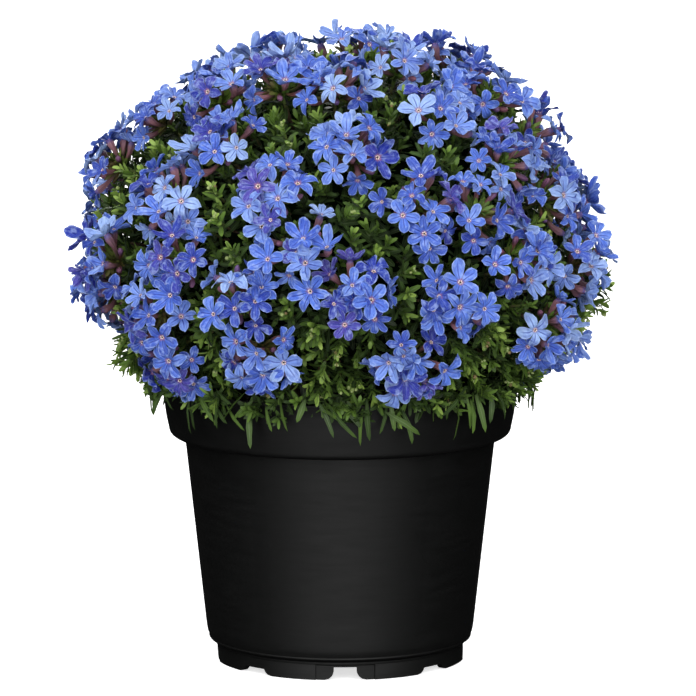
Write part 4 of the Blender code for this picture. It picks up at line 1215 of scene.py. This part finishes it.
class LITHODORA_OT_foliage(bpy.types.Operator):
    """Build the leafy shoots, the leaves over the rim and the shaded inside of the bush"""

    bl_idname = "lithodora.foliage"
    bl_label = "Leafy shoots"

    def execute(self, context):
        s = plant(context).foliage
        rng = np.random.default_rng(11)
        found = clusters(plant(context).blooms)
        shoots, inner, gap = self.dome_shoots(s, found, rng)
        root = shoots.tip - (shoots.length * 0.9)[:, None] * shoots.axis
        hubs = np.array([flowers.hub[0] for _, flowers, _, _ in found])
        hub_axis = dome_normals(hubs)
        hub_inner = on_dome(unit(hubs - DOME_CENTRE), TWIG_START)
        hanging = self.hanging_leaves(s, rng)
        skirt = self.rim_shoots(s, rng)
        feet = self.woody_feet()
        materials = [leaf_material(s), twig_material(s), small_bud_material(s)]
        low, high = (s.old_length, s.leaf_width, 76.0), (s.young_length, 0.7 * s.leaf_width, 28.0)
        for k in range(1, STEMS + 1):
            mine, stalks = in_wedge(shoots.tip, k), in_wedge(hubs, k)
            bare = np.flatnonzero(mine & (gap > 1.7 * COVERED))[::3]
            count = stalks.sum()
            hub, out = hubs[stalks], hub_axis[stalks]
            surfaces = [
                shoot_leaves(chosen(shoots, mine & (gap > COVERED)), s.shoot_leaves, low, high, rng),
                shoot_leaves(chosen(shoots, mine & (gap <= COVERED)), s.hidden_leaves, low, high, rng),
                twigs(inner[mine], root[mine], shoots.tip[mine], 0.7 * MM, 3, shoots.tone[mine]),
                small_buds(chosen(shoots, bare), rng),
                shoot_leaves(
                    Shoots(hub + 3.5 * MM * out, out, np.full(count, 11 * MM), rng.uniform(0.6, 1.0, count)),
                    20, (10 * MM, 2.3 * MM, 80.0), (5.5 * MM, 1.4 * MM, 38.0), rng,
                ),
                shoot_leaves(
                    chosen(skirt, in_wedge(skirt.tip, k)),
                    14, (9 * MM, 2.0 * MM, 75.0), (4.2 * MM, 1.3 * MM, 24.0), rng,
                ),
                twigs(hub_inner[stalks], hub - 8 * MM * out, hub, 1.1 * MM, 6, np.zeros(count)),
                blades(*[values[in_wedge(hanging[0], k)] for values in hanging]),
                twigs(*[values[k - 1 : k] for values in feet], 3.0 * MM, 8, np.zeros(1)),
            ]
            add_piece(f"leafy_shoots_{k}", surfaces, materials, [f"leafy_stem_{k}"], 60)
        add_piece("inner_shade", [lumpy_core(CORE_SHARE)], [shade_material(s)])
        return {"FINISHED"}

    def dome_shoots(self, s, found, rng):
        """Shoots all over the dome, their inner ends, and how far each is from the nearest flower.

        Their tips reach further out where no flower is near, follow the bush's outline and stay under the
        flowers that cover them. Tones vary by shoot and in patches, and are lighter where it is clear of
        flowers:
        painted light on the open shoots, and painted shade on those under flowers.
        """
        faces = np.concatenate([part.centre for _, flowers, lower, _ in found for part in (flowers, lower)])
        ways = unit(spiral_directions(s.shoots, -31.0) + rng.normal(0.0, 0.03, (s.shoots, 3)))
        surface = on_dome(ways)
        gaps = np.linalg.norm(surface[:, None] - on_dome(faces - DOME_CENTRE)[None], axis=-1)
        gap = gaps.min(axis=1)
        clear = smooth_step(4.5 * MM, 11.0 * MM, gap)
        share = 0.84 + 0.09 * clear + rng.uniform(-0.07, 0.015, s.shoots)
        share = share * outline_share(surface)
        under = np.where(gaps < 1.5 * COVERED, dome_share(faces) - 0.075, 2.0).min(axis=1)
        tip = on_dome(ways, np.minimum(share, under))
        lift = np.where(ways[:, 2:] > -0.15, 0.3, -0.1) * UP
        axis = unit(dome_normals(tip) + lift + rng.normal(0.0, 0.28, (s.shoots, 3)))
        length = rng.uniform(9, 16, s.shoots) * MM
        x, y, z = ways.T
        patch = np.sin(11 * x + 1) * np.sin(9 * y + 2) + np.sin(13 * z + 5 * x)
        # clear lifts the tone of shoots away from the flowers: painted light, with painted shade on the
        # covered ones.
        tone = rng.uniform(0.49, 0.86, s.shoots) + 0.25 * clear + 0.13 * patch
        return Shoots(tip, axis, length, tone), on_dome(ways, TWIG_START), gap

    def rim_shoots(self, s, rng):
        """The short shoots that lie over the rim all round."""
        count = s.rim_shoots
        out = level_ways(GOLDEN_ANGLE * np.arange(count) + rng.normal(0.0, 0.05, count))
        low = rng.uniform(0.0, 1.0, (count, 1))
        tip = out * (73.0 - 5.0 * low) * MM + UP * (107.0 - 9.0 * low) * MM
        axis = unit(out * (1.0 - 0.3 * low) + UP * (0.25 - 0.75 * low) + rng.normal(0.0, 0.3, (count, 3)))
        return Shoots(tip, axis, np.full(count, 12 * MM), rng.uniform(0.55, 1.1, count))

    def hanging_leaves(self, s, rng):
        """Long leaves that hang over the rim: base, tip, upper side, width, bend and tone."""
        count, column = s.hanging, (s.hanging, 1)
        out = level_ways(GOLDEN_ANGLE * np.arange(count) + rng.normal(0.0, 0.1, count))
        side = np.cross(UP, out)
        base = out * rng.uniform(66.0, 69.5, column) * MM + UP * rng.uniform(101.5, 109.0, column) * MM
        lean = rng.normal(0.0, 0.7, column)
        spread = rng.uniform(0.0, 0.3, column)
        tip = base + rng.uniform(7.0, 16.0, column) * MM * unit(spread * out - UP + lean * side)
        tip[:, 2] = np.maximum(tip[:, 2], 86.0 * MM)
        width = rng.uniform(1.4, 2.3, count) * MM
        tone = rng.uniform(0.28, 0.6, count)
        bend = rng.uniform(0.02, 0.14, count)
        upper = unit(out + rng.normal(0.0, 0.6, column) * side)
        return base, tip, upper, width, bend, tone

    def woody_feet(self):
        """Start, middle and end of the seven woody feet: out of the soil, leaning outwards into the bush."""
        out = level_ways(math.tau * (np.arange(STEMS) + 0.5) / STEMS)
        places = ((STEM_CIRCLE, 64 * MM), (STEM_CIRCLE, 96 * MM), (40 * MM, 128 * MM))
        return [radius * out + height * UP for radius, height in places]


class LITHODORA_OT_blooms(bpy.types.Operator):
    """Build the flowers of every cluster, with small ones and buds in the gaps"""

    bl_idname = "lithodora.blooms"
    bl_label = "Blooms"

    def execute(self, context):
        s = plant(context).blooms
        sepal = leaf_material(plant(context).foliage, "sepal_green", 0.6)
        materials = [petal_material(s), tube_material(s), bud_material(s), sepal]
        rng = np.random.default_rng(6)
        for name, flowers, lower, buds in clusters(s):
            surfaces = [sepals(flowers, rng), *self.cluster(joined_flowers([flowers, lower]), rng)]
            if buds:
                tone = rng.uniform(0, 0.7, len(buds.radius))
                surfaces += [flower_tubes(buds, BUD_ROWS, 7, tone, BUD_POINT, BUD), sepals(buds, rng)]
            number = name.split("_")[1]
            add_piece(f"bloom_cluster_{number}", surfaces, materials, [name], 55)
        return {"FINISHED"}

    def cluster(self, flowers, rng):
        """Tubes and petals of a cluster whose flowers mostly have five lobes, some six, a few seven."""
        count = len(flowers.radius)
        lobes = rng.choice(tuple(LOBE_HALF_WIDTHS), count, p=LOBE_CHANCES)
        shared = rng.normal(0.61, 0.1)
        tone = np.clip(shared + rng.normal(0.0, 0.235, count), 0.0, 1.0)
        cup = np.where(rng.random(count) < 0.15, rng.uniform(0.5, 1.3, count), rng.normal(-0.2, 0.5, count))
        surfaces = [flower_tubes(flowers, TUBE_ROWS, 6, tone, -THROAT_DEPTH, TUBE)]
        for number in LOBE_HALF_WIDTHS:
            which = lobes == number
            if which.any():
                surfaces.append(petals(chosen(flowers, which), number, cup[which], tone[which], rng))
        return surfaces


class LITHODORA_OT_stage(bpy.types.Operator):
    """Build the pale studio floor, the soft lights and the camera"""

    bl_idname = "lithodora.stage"
    bl_label = "Studio stage"

    def execute(self, context):
        s = plant(context).stage
        scene = context.scene
        mesh = bpy.data.meshes.new("studio_floor")
        corners = [(x * FLOOR_REACH, y * FLOOR_REACH, 0) for x, y in ((-1, -1), (1, -1), (1, 1), (-1, 1))]
        mesh.from_pydata(corners, [], [(0, 1, 2, 3)])
        mesh.materials.append(floor_material(s))
        floor = linked("studio_floor", mesh)
        floor.visible_diffuse = False
        floor.visible_glossy = False
        scene.world = bpy.data.worlds.new("studio_white")
        scene.world.use_nodes = True
        self.sky(scene.world.node_tree, s.daylight)
        self.sun("front_light", (0.0, -1.0, 0.31), s.key_power, 95.0)
        self.sun("top_light", (-0.5, 0.2, 1.0), s.fill_power, 60.0)
        self.sun("back_light", (0.1, 1.0, 0.45), s.back_power, 30.0)
        lens = bpy.data.cameras.new("front_camera")
        lens.sensor_width = SENSOR_WIDTH
        lens.lens = SENSOR_WIDTH * CAMERA_DISTANCE / CAMERA_VIEW
        lens.clip_end = 50.0
        camera = linked("front_camera", lens)
        way = Vector((0.0, -math.cos(CAMERA_RISE), math.sin(CAMERA_RISE)))
        camera.location = CAMERA_AIM + CAMERA_DISTANCE * way
        camera.rotation_euler = (CAMERA_AIM - camera.location).to_track_quat("-Z", "Y").to_euler()
        scene.camera = camera
        scene.view_settings.view_transform = "Standard"
        return {"FINISHED"}

    def sun(self, name, way, power, softness):
        """A wide soft source that shines from this direction; softness is how wide it looks, in degrees."""
        light = bpy.data.lights.new(name, "SUN")
        light.energy = power
        light.angle = math.radians(softness)
        linked(name, light).rotation_euler = Vector(way).to_track_quat("Z", "Y").to_euler()

    def sky(self, tree, strength):
        """White surroundings: brightest overhead, dim in reflections, and plain white behind the plant."""
        n = Nodes(tree)
        rays = n.node("ShaderNodeLightPath").outputs
        way = n.node("ShaderNodeTexCoord").outputs["Generated"]
        height = n.node("ShaderNodeSeparateXYZ", {0: way}).outputs[2]
        light = n.between(height, -0.4, 1.0, strength, 1.2 * strength)
        light = n.times(light, n.between(rays["Is Glossy Ray"], 0.0, 1.0, 1.0, 0.03))
        background = tree.nodes["Background"].inputs
        n.put(background["Strength"], n.math("MAXIMUM", rays["Is Camera Ray"], light))
        n.put(background["Color"], WHITE)


class LITHODORA_PT_panel(bpy.types.Panel):
    """Sidebar list of the pieces of the potted plant"""

    bl_idname = "LITHODORA_PT_panel"
    bl_label = "Lithodora"
    bl_space_type = "VIEW_3D"
    bl_region_type = "UI"
    bl_category = "Lithodora"

    def draw(self, context):
        for operator in OPERATORS:
            self.layout.operator(operator.bl_idname)
        settings = plant(context)
        for group in (settings.pot, settings.foliage, settings.blooms, settings.stage):
            box = self.layout.box()
            for key in type(group).__annotations__:
                box.prop(group, key)


OPERATORS = (
    LITHODORA_OT_pot, LITHODORA_OT_soil, LITHODORA_OT_foliage, LITHODORA_OT_blooms, LITHODORA_OT_stage,
)
CLASSES = (
    PotSettings, FoliageSettings, BloomSettings, StageSettings, PlantSettings, *OPERATORS, LITHODORA_PT_panel,
)


def register():
    for entry in CLASSES:
        bpy.utils.register_class(entry)
    bpy.types.Scene.lithodora = bpy.props.PointerProperty(type=PlantSettings, name="Lithodora")


def unregister():
    del bpy.types.Scene.lithodora
    for entry in reversed(CLASSES):
        bpy.utils.unregister_class(entry)


def main():
    register()
    for operator in OPERATORS:
        group, name = operator.bl_idname.split(".")
        getattr(getattr(bpy.ops, group), name)()
    bpy.context.view_layer.update()


if __name__ == "__main__":
    main()
